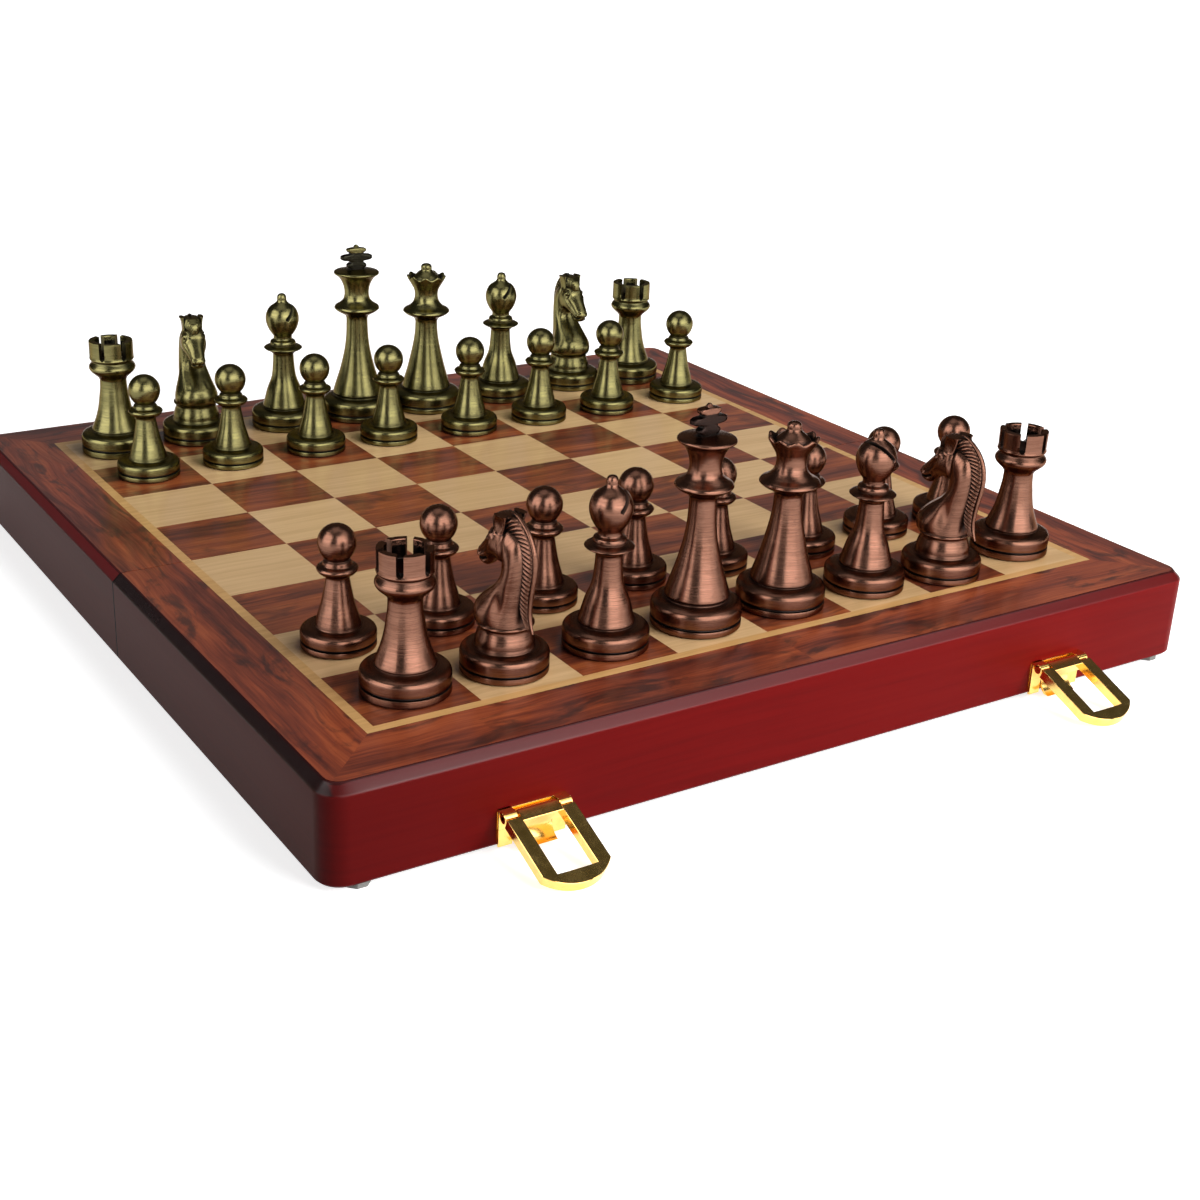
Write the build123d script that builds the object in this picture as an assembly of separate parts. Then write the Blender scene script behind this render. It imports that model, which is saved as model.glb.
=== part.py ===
from build123d import *
import os
from math import asin, atan2, cos, degrees, hypot, pi, radians, sin

# A folding chess board whose two halves are the storage case, with thirty-two turned metal
# chessmen. It lies open on a table: X runs along the latch edge, Y towards the far side, Z up.
# The parts are drawn about the fold line and moved to the middle of the whole at the end.

# Board and case
square = 31.25
stringing_width = 3.0
border_width = 19.0
edge_width = 3.0
case_height = 28.0
wall = 8.0
panel_thickness = 3.4
veneer_thickness = 0.6
case_corner_radius = 7.0
top_edge_radius = 2.4
bottom_edge_bevel = 0.8
seam_gap = 0.3

# Foam insert, with a slot for each officer and the pawn that lies head to head with it
foam_thickness = 20.4
slot_side_clearance = 0.5
slot_end_clearance = 1.5

# Fold hinges, let into the rims of the two fold walls
hinge_spacing = 150.0
hinge_length = 25.0
hinge_leaf_depth = 6.0
hinge_leaf_thickness = 0.9
hinge_barrel_radius = 1.25
hinge_pin_radius = 0.6
hinge_clearance = 0.35
rim_clearance = 0.15
fixed_clearance = 0.03
turning_clearance = 0.06

# Countersunk wood screws
screw_head_radius = 1.5
screw_shank_radius = 0.7
screw_length = 6.0
screw_sides = 6
hinge_screw_spacing = 16.0

# Felt dots under the outer corners, staggered so that they miss each other when it is shut
bumper_radius = 3.5
front_bumper_inset = 10.0
back_bumper_inset = 22.0

# Latches on the front edge
latch_spacing = 186.0
latch_axis_height = 10.6
latch_axis_offset = 2.6
flap_width = 19.9
flap_length = 25.3
flap_thickness = 3.0
flap_straight = 20.4
window_width = 11.7
window_near = 3.1
window_far = 20.9
knuckle_play = 0.35
latch_plate_thickness = 0.8
latch_pin_radius = 0.7
tongue_width = 9.6
tongue_reach = 3.6
tongue_height = 5.0
latch_screw_height = 5.2
latch_screw_spacing = 15.9

# Catches on the far edge
catch_width = 19.9
catch_height = 12.4
catch_hook_width = 9.6
catch_hook_reach = 4.2
catch_hook_thickness = 1.2
catch_clearance = 0.5
catch_screw_drop = 3.0

# Chessmen: height over all, radius of the base, and height of the base with its groove
king_height = 65.5
queen_height = 56.3
bishop_height = 50.0
knight_height = 45.6
rook_height = 40.3
pawn_height = 35.4
royal_base_radius = 13.0
officer_base_radius = 12.0
pawn_base_radius = 10.4
royal_base_height = 8.2
officer_base_height = 6.8
pawn_base_height = 5.6
cross_width = 12.4
cross_thickness = 3.4
rook_well_radius = 5.3
rook_well_depth = 6.4
rook_slot_width = 2.0
rook_slot_depth = 5.6
mitre_cut_width = 0.9
mane_thickness = 3.4

# Round forms are cut with flat facets, so that a set of thirty-two turned pieces stays light
royal_sides = 12
rook_sides = 12
officer_sides = 10
pawn_sides = 9
barrel_sides = 8
pin_sides = 6
corner_facets = 5
edge_facets = 3

# Sizes that follow from those above
fold_gap = seam_gap / 2
field = 4 * square
stringing_edge = field + stringing_width
border_edge = stringing_edge + border_width
case_half = border_edge + edge_width
axis_height = hinge_barrel_radius
rim_height = axis_height + rim_clearance
board_top = rim_height + case_height
panel_top = board_top - veneer_thickness
panel_bottom = panel_top - panel_thickness
foam_bottom = panel_bottom - foam_thickness
rabbet_corner_radius = case_corner_radius - edge_width
inner_half = case_half - wall
fold_wall_inner = fold_gap + wall
hinge_notch = hinge_barrel_radius + hinge_clearance
bumper_line = case_half - wall / 2
latch_axis_y = -case_half - latch_axis_offset
barrel_radius = flap_thickness / 2
flap_slope = degrees(
    asin(latch_axis_height / hypot(flap_length, barrel_radius)) - atan2(barrel_radius, flap_length)
)
flap_tip_y = latch_axis_y - (
    flap_length * cos(radians(flap_slope)) + barrel_radius * sin(radians(flap_slope))
)
shut_slope = (rim_height - 2 * rim_clearance + turning_clearance) / (bumper_line - bumper_radius)
fold_range = 180.0 - degrees(shut_slope)
hook_top = window_far - catch_clearance - latch_axis_height + 2 * axis_height - shut_slope * case_half
catch_tip_y = case_half + latch_plate_thickness + catch_hook_reach
fold_y = -(flap_tip_y + catch_tip_y) / 2
LOW = Align.MIN
MID = Align.CENTER


def block(x, y, z):
    """A box from its two limits along each axis."""
    size = (abs(x[1] - x[0]), abs(y[1] - y[0]), abs(z[1] - z[0]))
    return Pos(min(x), min(y), min(z)) * Box(*size, align=(LOW, LOW, LOW))


def joined(solids):
    """One solid out of pieces that touch or overlap."""
    solids = list(solids)
    return solids[0].fuse(*solids[1:]).clean()


def either_side(distance):
    return (-distance / 2, distance / 2)


def skin(loops):
    """A closed solid over rings of points. A facet stays whole where it is flat."""
    faces = [Face(Wire.make_polygon(loops[0], close=True))]
    for low, high in zip(loops, loops[1:]):
        for i in range(len(low)):
            j = (i + 1) % len(low)
            a, b, c, d = low[i], low[j], high[j], high[i]
            flat = abs((b - a).cross(d - a).dot(c - a)) < 1e-6
            pointed = (c - d).length < 1e-6
            for corners in [[a, b, c]] if pointed else [[a, b, c, d]] if flat else [[a, b, c], [a, c, d]]:
                faces.append(Face(Wire.make_polygon(corners, close=True)))
    if (loops[-1][0] - loops[-1][1]).length > 1e-6:
        faces.append(Face(Wire.make_polygon(loops[-1], close=True)))
    return Solid(Shell(faces))


def ring(radius, height, sides, wave=0.0, rise=0.0):
    """Points round the axis. A wave sets every second point further out and higher."""
    points = []
    for i in range(sides):
        angle = 2 * pi * (i + 0.5) / sides
        out = radius + wave * (i % 2)
        points.append(Vector(out * cos(angle), out * sin(angle), height + rise * (i % 2)))
    return points


def turned(profile, sides):
    """A turned form from its (radius, height) profile, with flat facets round the axis."""
    return skin([ring(radius, height, sides) for radius, height in profile])


def rod(radius, x, y, z, sides):
    """A faceted bar along X between two limits. The radius reaches its corners."""
    return Pos(min(x), y, z) * Rot(0, 90, 0) * turned([(radius, 0), (radius, abs(x[1] - x[0]))], sides)


def bore(radius, width, y, z):
    """The cut along X in which a bar of this radius fits or turns."""
    return rod(radius / cos(pi / pin_sides), (-width, width), y, z, pin_sides)


# The two halves of the case


def outline(half_size, side, corner):
    """Points round one half: straight at the fold line, rounded at its two outer corners."""
    points = [(half_size, side * fold_gap)]
    for right in (1, -1):
        for i in range(corner_facets + 1 if corner > 0 else 1):
            turn = radians(90 * i / corner_facets)
            turn = turn if right > 0 else pi / 2 - turn
            x = half_size - corner + corner * cos(turn)
            y = half_size - corner + corner * sin(turn) if corner > 0 else half_size
            points.append((right * (x if corner > 0 else half_size), side * y))
    return points + [(-half_size, side * fold_gap)]


def slab(half_size, side, corner, bottom, top):
    """A flat layer of one half between two heights."""
    points = outline(half_size, side, corner)
    return skin([[Vector(x, y, z) for x, y in points] for z in (bottom, top)])


def case_block(side):
    """One half before it is hollowed: bevelled at the rim and rounded at the upper edge."""
    levels = [(bottom_edge_bevel, rim_height), (0, rim_height + bottom_edge_bevel)]
    for i in range(edge_facets + 1):
        turn = radians(90 * i / edge_facets)
        height = board_top - top_edge_radius * (1 - sin(turn))
        levels.append((top_edge_radius * (1 - cos(turn)), height))
    loops = []
    for inset, z in levels:
        points = outline(case_half - inset, side, case_corner_radius - inset)
        loops.append([Vector(x, y, z) for x, y in points])
    return skin(loops)


def case_frame(side):
    """Four walls, rabbeted for the top panel, and let in at the rim for the hinges."""
    hollow = block(
        (-inner_half, inner_half),
        (side * fold_wall_inner, side * inner_half),
        (rim_height - 1, board_top + 1),
    )
    rabbet = slab(border_edge, side, rabbet_corner_radius, panel_bottom, board_top + 1)
    body = case_block(side) - hollow - rabbet
    for x in either_side(hinge_spacing):
        reach = hinge_length / 2 + hinge_clearance
        body -= block((x - reach, x + reach), (-hinge_notch, hinge_notch), (0, axis_height + hinge_notch))
        body -= leaf_plate(x, side)
    return body


def top_panel(side):
    """Plywood panel that closes the half and carries the veneers."""
    return slab(border_edge, side, rabbet_corner_radius, panel_bottom, panel_top)


def squares(side, dark):
    """The veneer squares of one colour on one half. The near left corner square is dark."""
    found = []
    for file in range(8):
        for rank in range(4) if side < 0 else range(4, 8):
            if ((file + rank) % 2 == 0) != dark:
                continue
            y = [(rank - 4) * square, (rank - 3) * square]
            y = [max(edge, fold_gap) if side > 0 else min(edge, -fold_gap) for edge in y]
            x = (file - 4) * square
            found.append(block((x, x + square), y, (panel_top, board_top)))
    return found


def veneer_band(side, inner, outer, corner):
    """Three strips of veneer round one half, mitred where they meet."""
    band = slab(outer, side, corner, panel_top, board_top)
    band -= block((-inner, inner), (0, side * inner), (panel_top - 1, board_top + 1))
    reach = 2 * outer
    wedge = make_face(Polyline((0, 0), (-reach, side * reach), (reach, side * reach), (0, 0)))
    wedge = extrude(Pos(0, 0, panel_top - 1) * wedge, amount=veneer_thickness + 2)
    return list((band & wedge).solids()) + list((band - wedge).solids())


# Foam insert

heights = {
    "king": king_height,
    "queen": queen_height,
    "bishop": bishop_height,
    "knight": knight_height,
    "rook": rook_height,
    "pawn": pawn_height,
}
base_radii = {kind: officer_base_radius for kind in heights}
base_radii.update(king=royal_base_radius, queen=royal_base_radius, pawn=pawn_base_radius)
back_rank = ["rook", "knight", "bishop", "king", "queen", "bishop", "knight", "rook"]


def foam_insert(side):
    """Die-cut foam that fills a half behind its rim, with a row of slots."""
    body = block(
        (-inner_half, inner_half), (side * fold_wall_inner, side * inner_half), (foam_bottom, panel_bottom)
    )
    for x, y in foam_slots(side):
        body -= block(x, y, (foam_bottom - 1, panel_bottom + 1))
    return body


def foam_slots(side):
    """Limits in X and Y of the slots. In the front half an officer's base lies at the outer
    end and in the back half at the inner end, so that two wide bases never face each other."""
    length = king_height + pawn_height + 2 * slot_end_clearance
    middle = side * (fold_wall_inner + inner_half) / 2
    pitch = 2 * inner_half / len(back_rank)
    slots = []
    for i, kind in enumerate(back_rank):
        x = (i - 3.5) * pitch
        half = base_radii[kind] + slot_side_clearance
        slots.append(((x - half, x + half), (middle - length / 2, middle + length / 2)))
    return slots


# Screws


def screw_form(clearance):
    """Countersunk head and shank, from the head's flat face along +Z."""
    head = screw_head_radius + clearance
    shank = screw_shank_radius + clearance
    return [(head, 0), (shank, head - shank), (shank, screw_length)]


def screw(place, turn):
    """Pointed screw. It bites into the wood, so the wall has no hole for it."""
    head, neck, _ = screw_form(0)
    tip = (0.2 * screw_shank_radius, screw_length)
    return Pos(*place) * turn * turned([head, neck, tip], screw_sides)


def screw_hole(place, turn):
    """The cut that a screw needs in a plate."""
    return Pos(*place) * turn * turned(screw_form(fixed_clearance), screw_sides)


UPWARDS = Rot(0, 0, 0)
INWARDS = {-1: Rot(-90, 0, 0), 1: Rot(90, 0, 0)}


def leaf_screw_places(x, side):
    y = side * (hinge_notch + hinge_leaf_depth / 2)
    return [(x + dx, y, rim_height) for dx in either_side(hinge_screw_spacing)]


def plate_screw_places(x, side):
    """Screws of a latch plate (front) or of a catch (back)."""
    height = latch_screw_height if side < 0 else rim_height + catch_height - catch_screw_drop
    y = side * (case_half + latch_plate_thickness)
    return [(x + dx, y, height) for dx in either_side(latch_screw_spacing)]


def screws(side):
    found = []
    for x in either_side(hinge_spacing):
        found += [screw(place, UPWARDS) for place in leaf_screw_places(x, side)]
    for x in either_side(latch_spacing):
        found += [screw(place, INWARDS[side]) for place in plate_screw_places(x, side)]
    return found


# Fold hinges


def leaf_plate(x, side):
    """The flat of a hinge leaf, flush with the rim it is let into."""
    return block(
        (x - hinge_length / 2, x + hinge_length / 2),
        (side * hinge_notch, side * (hinge_notch + hinge_leaf_depth)),
        (rim_height, rim_height + hinge_leaf_thickness),
    )


def hinge_leaf(x, side):
    """Leaf with its knuckles rolled round the pin: two on the front leaf, one between them."""
    third = hinge_length / 3
    spans = [(-third / 2, third / 2)]
    if side < 0:
        play = turning_clearance
        spans = [(-1.5 * third, -third / 2 - play), (third / 2 + play, 1.5 * third)]
    pieces = [leaf_plate(x, side)]
    for start, end in spans:
        span = (x + start, x + end)
        web = (rim_height, rim_height + hinge_leaf_thickness)
        pieces.append(block(span, (0, side * (hinge_notch + 1)), web))
        pieces.append(rod(hinge_barrel_radius, span, 0, axis_height, barrel_sides))
    hole = hinge_pin_radius + (turning_clearance if side > 0 else fixed_clearance)
    body = joined(pieces) - Pos(x, 0, 0) * bore(hole, hinge_length, 0, axis_height)
    for place in leaf_screw_places(x, side):
        body -= screw_hole(place, UPWARDS)
    return body


def hinge_pin(x):
    span = (x - hinge_length / 2, x + hinge_length / 2)
    return rod(hinge_pin_radius, span, 0, axis_height, pin_sides)


def bumpers(side):
    """Two felt dots under the outer corners. With the hinges they carry the open board."""
    x = case_half - (front_bumper_inset if side < 0 else back_bumper_inset)
    dot = turned([(bumper_radius, 0), (bumper_radius, rim_height)], barrel_sides)
    return [Pos(px, side * bumper_line, 0) * dot for px in (-x, x)]


# Latches


def latch_plate(x):
    """Plate on the front face with a knuckle at each end of its top and a curved tongue."""
    half, inner, tongue = flap_width / 2, window_width / 2 + knuckle_play, tongue_width / 2
    front = -case_half - latch_plate_thickness
    top = latch_axis_height + barrel_radius
    bend = rim_height + tongue_height
    body = block((-half, half), (front, -case_half), (bend, top))
    for left, right in ((-half, -inner), (inner, half)):
        leg = (-half, -tongue - 1) if left < 0 else (tongue + 1, half)
        body += block(leg, (front, -case_half), (rim_height, bend))
        body += block((left, right), (latch_axis_y, -case_half), (top - latch_plate_thickness, top))
        body += rod(barrel_radius, (left, right), latch_axis_y, latch_axis_height, barrel_sides)
    radius = (tongue_height**2 + tongue_reach**2) / (2 * tongue_reach)
    tip = front - tongue_reach
    profile = make_face(
        [
            Line((-case_half, bend), (front, bend)),
            RadiusArc((front, bend), (tip, rim_height), radius),
            Line((tip, rim_height), (tip + latch_plate_thickness, rim_height)),
            RadiusArc((tip + latch_plate_thickness, rim_height), (-case_half, bend), -radius),
        ]
    )
    body += Pos(-tongue, 0, 0) * extrude(Plane.YZ * profile, amount=tongue_width)
    body -= bore(latch_pin_radius + fixed_clearance, flap_width, latch_axis_y, latch_axis_height)
    body = Pos(x, 0, 0) * body
    for place in plate_screw_places(x, -1):
        body -= screw_hole(place, INWARDS[-1])
    return body


def latch_flap(x):
    """Round-ended frame with a long window. The barrel of its near bar turns on the pin."""
    half, inner = flap_width / 2, window_width / 2
    arms = -barrel_radius - knuckle_play
    outline = make_face(
        [
            Line((-half, arms), (half, arms)),
            Line((half, arms), (half, -flap_straight)),
            ThreePointArc((half, -flap_straight), (0, -flap_length), (-half, -flap_straight)),
            Line((-half, -flap_straight), (-half, arms)),
        ]
    )
    body = extrude(Pos(0, 0, -barrel_radius) * outline, amount=flap_thickness)
    body += block((-inner, inner), (-window_near, 0), (-barrel_radius, barrel_radius))
    body += rod(barrel_radius, (-inner, inner), 0, 0, barrel_sides)
    body -= block((-inner, inner), (-window_far, -window_near), (-flap_thickness, flap_thickness))
    body -= bore(latch_pin_radius + turning_clearance, flap_width, 0, 0)
    return Pos(x, latch_axis_y, latch_axis_height) * Rot(flap_slope, 0, 0) * body


def latch_pin(x):
    span = (x - flap_width / 2, x + flap_width / 2)
    return rod(latch_pin_radius, span, latch_axis_y, latch_axis_height, pin_sides)


def catch(x):
    """Plate on the far face with the hook that a flap's window drops over."""
    half, hook = catch_width / 2, catch_hook_width / 2
    front = case_half + latch_plate_thickness
    top = rim_height + catch_height
    shelf = (hook_top - catch_hook_thickness, hook_top)
    lip = (hook_top - 3 * catch_hook_thickness, hook_top)
    body = joined(
        [
            block((-half, half), (case_half, front), (rim_height + bottom_edge_bevel, top)),
            block((-hook, hook), (case_half, catch_tip_y), shelf),
            block((-hook, hook), (catch_tip_y - catch_hook_thickness, catch_tip_y), lip),
        ]
    )
    body = Pos(x, 0, 0) * body
    for place in plate_screw_places(x, 1):
        body -= screw_hole(place, INWARDS[1])
    return body


# Chessmen. A stem is drawn in shares of the base's radius and of the height above the base.


def base_rings(radius, height):
    """Two discs with a groove between them, and a sloping shoulder on the upper one."""
    return [
        (radius, 0),
        (radius, 0.30 * height),
        (0.93 * radius, 0.35 * height),
        (radius, 0.40 * height),
        (radius, 0.76 * height),
    ]


def figure(kind, base_height, stem):
    """Rings of a base with a stem on it."""
    radius, span = base_radii[kind], heights[kind] - base_height
    return base_rings(radius, base_height) + [(radius * r, base_height + span * z) for r, z in stem]


def king():
    """Flared crown on a long tapering column, with a stepped cross on top."""
    crown_top = 0.84
    stem = [
        (0.73, 0.0),
        (0.70, 0.03),
        (0.52, 0.16),
        (0.37, 0.315),
        (0.30, 0.52),
        (0.63, 0.575),
        (0.63, 0.595),
        (0.345, 0.67),
        (0.345, 0.73),
        (0.63, 0.81),
        (0.61, 0.825),
        (0.22, crown_top),
    ]
    body = turned(figure("king", royal_base_height, stem), royal_sides)
    foot = royal_base_height + (king_height - royal_base_height) * (crown_top - 0.01)
    rise = king_height - foot
    half = [
        (0.45, 0.0),
        (0.45, 0.16),
        (0.62, 0.18),
        (0.62, 0.31),
        (0.44, 0.36),
        (1.0, 0.42),
        (1.0, 0.63),
        (0.44, 0.69),
        (0.62, 0.74),
        (0.62, 0.90),
        (0.16, 0.92),
        (0.14, 1.0),
    ]
    half = [(x * cross_width / 2, foot + z * rise) for x, z in half]
    outline = half + [(-x, z) for x, z in reversed(half)]
    cross = extrude(Plane.XZ * make_face(Polyline(*outline, outline[0])), cross_thickness / 2, both=True)
    return joined([body, cross])


def queen():
    """Cupped crown with a wavy rim round a dome and a small ball."""
    stem = [
        (0.715, 0.0),
        (0.69, 0.03),
        (0.555, 0.15),
        (0.425, 0.30),
        (0.325, 0.55),
        (0.645, 0.605),
        (0.635, 0.64),
        (0.375, 0.70),
        (0.34, 0.775),
    ]
    loops = [ring(r, z, royal_sides) for r, z in figure("queen", royal_base_height, stem)]
    radius, span = royal_base_radius, queen_height - royal_base_height
    for r, z in ((0.515, 0.87), (0.45, 0.88)):
        loops.append(ring(r * radius, royal_base_height + z * span, royal_sides, 0.07 * radius, 0.03 * span))
    for r, z in ((0.385, 0.86), (0.34, 0.895), (0.15, 0.945), (0.165, 0.975), (0.07, 1.0)):
        loops.append(ring(r * radius, royal_base_height + z * span, royal_sides))
    return skin(loops)


def bishop():
    """Egg-shaped mitre with a slanting cut and a ball on top, over a double collar."""
    stem = [
        (0.685, 0.0),
        (0.66, 0.03),
        (0.5, 0.16),
        (0.365, 0.325),
        (0.325, 0.48),
        (0.565, 0.53),
        (0.56, 0.56),
        (0.30, 0.61),
        (0.44, 0.715),
        (0.49, 0.785),
        (0.385, 0.87),
        (0.12, 0.945),
        (0.11, 1.0),
    ]
    body = turned(figure("bishop", officer_base_height, stem), officer_sides)
    across = officer_base_radius
    middle = officer_base_height + (bishop_height - officer_base_height) * 0.85
    cut = Pos(0.28 * across, 0, middle) * Rot(0, -58, 0) * Box(0.75 * across, 2 * across, mitre_cut_width)
    return body - cut


def rook():
    """Tower with a deep round well and six slots in its wall."""
    stem = [
        (0.66, 0.02),
        (0.515, 0.20),
        (0.41, 0.405),
        (0.375, 0.60),
        (0.65, 0.70),
        (0.665, 0.76),
        (0.59, 0.80),
        (0.635, 0.82),
        (0.615, 1.0),
    ]
    body = turned(figure("rook", officer_base_height, stem), rook_sides)
    floor = rook_height - rook_well_depth
    body -= turned([(rook_well_radius, floor), (rook_well_radius, rook_height + 1)], rook_sides)
    for i in range(3):
        across = (-officer_base_radius, officer_base_radius)
        slot = block(across, either_side(rook_slot_width), (rook_height - rook_slot_depth, rook_height + 1))
        body -= Rot(0, 0, 30 + 60 * i) * slot
    return body


def pawn():
    """Ball head on a collar and a short flared column."""
    stem = [
        (0.635, 0.02),
        (0.44, 0.235),
        (0.325, 0.49),
        (0.565, 0.57),
        (0.345, 0.65),
        (0.46, 0.74),
        (0.5, 0.83),
        (0.40, 0.94),
        (0.18, 1.0),
    ]
    return turned(figure("pawn", pawn_base_height, stem), pawn_sides)


def horse_ring(station, foot, rise):
    """Eight points round one station of the horse: where its middle lies, how far the line
    from its back to its front tilts from level, and half its depth and width."""
    y, z, tilt, depth, width = station
    along = Vector(0, cos(radians(tilt)), sin(radians(tilt)))
    middle = Vector(0, y * rise, foot + z * rise)
    points = []
    for i in range(8):
        angle = 2 * pi * (i + 0.5) / 8
        points.append(middle + along * (1.08 * depth * rise * cos(angle)) + Vector(width * rise * sin(angle)))
    return points


def knight():
    """Horse's head and neck, skinned from the chest up the neck and out to the muzzle, with an
    upright mane and two ears, on a waisted pedestal. Drawn in shares of the horse's height."""
    pedestal = [(0.65, 0.0), (0.66, 0.045), (0.575, 0.115), (0.65, 0.17), (0.6, 0.195)]
    rings = figure("knight", officer_base_height, pedestal)
    foot = rings[-1][1] - 0.4
    rise = knight_height - foot
    stations = [
        (0.01, 0.0, 0, 0.22, 0.22),
        (0.03, 0.10, 0, 0.26, 0.24),
        (-0.01, 0.23, -8, 0.26, 0.21),
        (-0.13, 0.40, -16, 0.19, 0.16),
        (-0.17, 0.56, -24, 0.17, 0.15),
        (-0.11, 0.72, -50, 0.18, 0.14),
        (0.05, 0.70, -88, 0.17, 0.14),
        (0.21, 0.57, -116, 0.11, 0.10),
        (0.31, 0.50, -122, 0.06, 0.08),
    ]
    body = skin([horse_ring(station, foot, rise) for station in stations])
    crest = [
        (0.13, 0.80),
        (0.15, 0.89),
        (0.10, 0.94),
        (-0.04, 0.97),
        (-0.16, 0.95),
        (-0.28, 0.87),
        (-0.36, 0.73),
        (-0.38, 0.58),
        (-0.36, 0.42),
        (-0.32, 0.22),
        (-0.37, 0.03),
        (-0.22, 0.02),
        (-0.16, 0.20),
        (-0.10, 0.70),
    ]
    crest = [(y * rise, foot + z * rise) for y, z in crest]
    mane = extrude(Plane.YZ * make_face(Polyline(*crest, crest[0])), mane_thickness / 2, both=True)
    parts = [turned(rings, officer_sides), body, mane]
    for side in (-1, 1):
        root = [(0.03, -0.15, 0.84), (0.13, -0.10, 0.79), (0.05, -0.01, 0.81)]
        root = [Vector(side * x * rise, y * rise, foot + z * rise) for x, y, z in root]
        tip = Vector(side * 0.08 * rise, -0.11 * rise, knight_height)
        parts.append(skin([root, [tip] * 3]))
    return joined(parts)


# How far pieces stand off the middle of their squares, and how they are turned
offsets = {
    "copper_rook_left": (1.1, -0.8),
    "copper_knight_left": (-0.5, -1.2),
    "copper_bishop_left": (0.9, -1.0),
    "copper_king": (1.3, 0.0),
    "copper_queen": (0.7, -0.2),
    "copper_bishop_right": (1.2, -1.1),
    "copper_knight_right": (-1.6, -4.2),
    "copper_rook_right": (1.7, 0.8),
    "copper_pawn_1": (-2.2, 1.8),
    "copper_pawn_2": (-2.1, 2.4),
    "copper_pawn_3": (1.1, 2.3),
    "copper_pawn_4": (3.1, 4.4),
    "copper_pawn_5": (0.4, 1.4),
    "copper_pawn_6": (3.7, 0.7),
    "copper_pawn_7": (4.9, 2.5),
    "copper_pawn_8": (3.2, 1.4),
    "bronze_rook_left": (-0.6, 2.4),
    "bronze_knight_left": (-1.3, 3.7),
    "bronze_bishop_left": (2.7, 4.7),
    "bronze_king": (1.4, 3.8),
    "bronze_queen": (-1.0, 2.6),
    "bronze_bishop_right": (0.6, 2.0),
    "bronze_knight_right": (3.4, 4.6),
    "bronze_rook_right": (0.1, 2.1),
    "bronze_pawn_1": (0.2, 3.3),
    "bronze_pawn_2": (-0.2, 3.1),
    "bronze_pawn_3": (0.5, 3.2),
    "bronze_pawn_4": (-1.5, 2.9),
    "bronze_pawn_5": (-0.3, 0.2),
    "bronze_pawn_6": (-0.7, 0.3),
    "bronze_pawn_7": (-1.0, -0.4),
    "bronze_pawn_8": (2.0, 1.0),
}
turns = {
    "copper_bishop_left": 10,
    "copper_bishop_right": 187,
    "bronze_bishop_left": 8,
    "bronze_bishop_right": -5,
    "copper_king": 3,
    "bronze_king": -6,
    "copper_knight_left": 8,
    "copper_knight_right": 8,
    "bronze_knight_left": 170,
    "bronze_knight_right": 178,
}
makers = {"king": king, "queen": queen, "bishop": bishop, "knight": knight, "rook": rook, "pawn": pawn}


def chessmen():
    """Every chessman in its place: officers on the outer ranks and pawns before them."""
    shapes = {kind: maker() for kind, maker in makers.items()}
    placed = {}
    for army, officers, pawns, facing in (("copper", 0, 1, 0), ("bronze", 7, 6, 180)):
        for file, kind in enumerate(back_rank):
            hand = "" if kind in ("king", "queen") else "_left" if file < 4 else "_right"
            name = f"{army}_{kind}{hand}"
            turn = facing if kind == "knight" else 0
            placed[name] = stood(shapes[kind], name, file, officers, turn)
        for file in range(8):
            name = f"{army}_pawn_{file + 1}"
            placed[name] = stood(shapes["pawn"], name, file, pawns, 0)
    return placed


def stood(shape, name, file, rank, turn):
    """A piece on its square, nudged and turned as a player leaves it."""
    dx, dy = offsets[name]
    x, y = (file - 3.5) * square + dx, (rank - 3.5) * square + dy
    return Pos(x, y, board_top) * Rot(0, 0, turns.get(name, turn)) * shape


def main():
    os.makedirs("parts", exist_ok=True)
    nodes = {}
    for side, half in ((-1, "front"), (1, "back")):
        nodes[f"{half}_case_frame"] = case_frame(side)
        nodes[f"{half}_top_panel"] = top_panel(side)
        nodes[f"{half}_light_squares"] = squares(side, False)
        nodes[f"{half}_dark_squares"] = squares(side, True)
        nodes[f"{half}_stringing"] = veneer_band(side, field, stringing_edge, 0)
        nodes[f"{half}_border_veneer"] = veneer_band(side, stringing_edge, border_edge, rabbet_corner_radius)
        nodes[f"{half}_foam_insert"] = foam_insert(side)
        nodes[f"{half}_hinge_leaves"] = [hinge_leaf(x, side) for x in either_side(hinge_spacing)]
        nodes[f"{half}_felt_bumpers"] = bumpers(side)
        nodes[f"{half}_screws"] = screws(side)
    nodes["hinge_pins"] = [hinge_pin(x) for x in either_side(hinge_spacing)]
    for x, hand in zip(either_side(latch_spacing), ("left", "right")):
        nodes[f"{hand}_latch_plate"] = latch_plate(x)
        nodes[f"{hand}_latch_flap"] = latch_flap(x)
    nodes["latch_pins"] = [latch_pin(x) for x in either_side(latch_spacing)]
    nodes["catch_plates"] = [catch(x) for x in either_side(latch_spacing)]
    nodes.update(chessmen())
    for name, solids in nodes.items():
        solids = solids if isinstance(solids, list) else [solids]
        moved = [Pos(0, fold_y, 0) * solid for solid in solids]
        export_step(Compound(children=moved) if len(moved) > 1 else moved[0], f"parts/{name}.step")
    print("fold line at y", round(fold_y, 3), "fold range", round(fold_range, 2))
    print("flap slope", round(flap_slope, 2), "latch axis y", round(latch_axis_y + fold_y, 3))
    print("board top", board_top, "nodes", len(nodes))


main()
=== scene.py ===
"""Looks of a folding chess set: lacquered case, veneered board, antique metal chessmen, gold latches.

Lengths are in mm and become metres when a mesh is made. Every surface is a grid of points."""

from math import asin, cos, pi, radians, sin

import bmesh
import bpy
import numpy as np
from mathutils import Matrix, Vector


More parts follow.
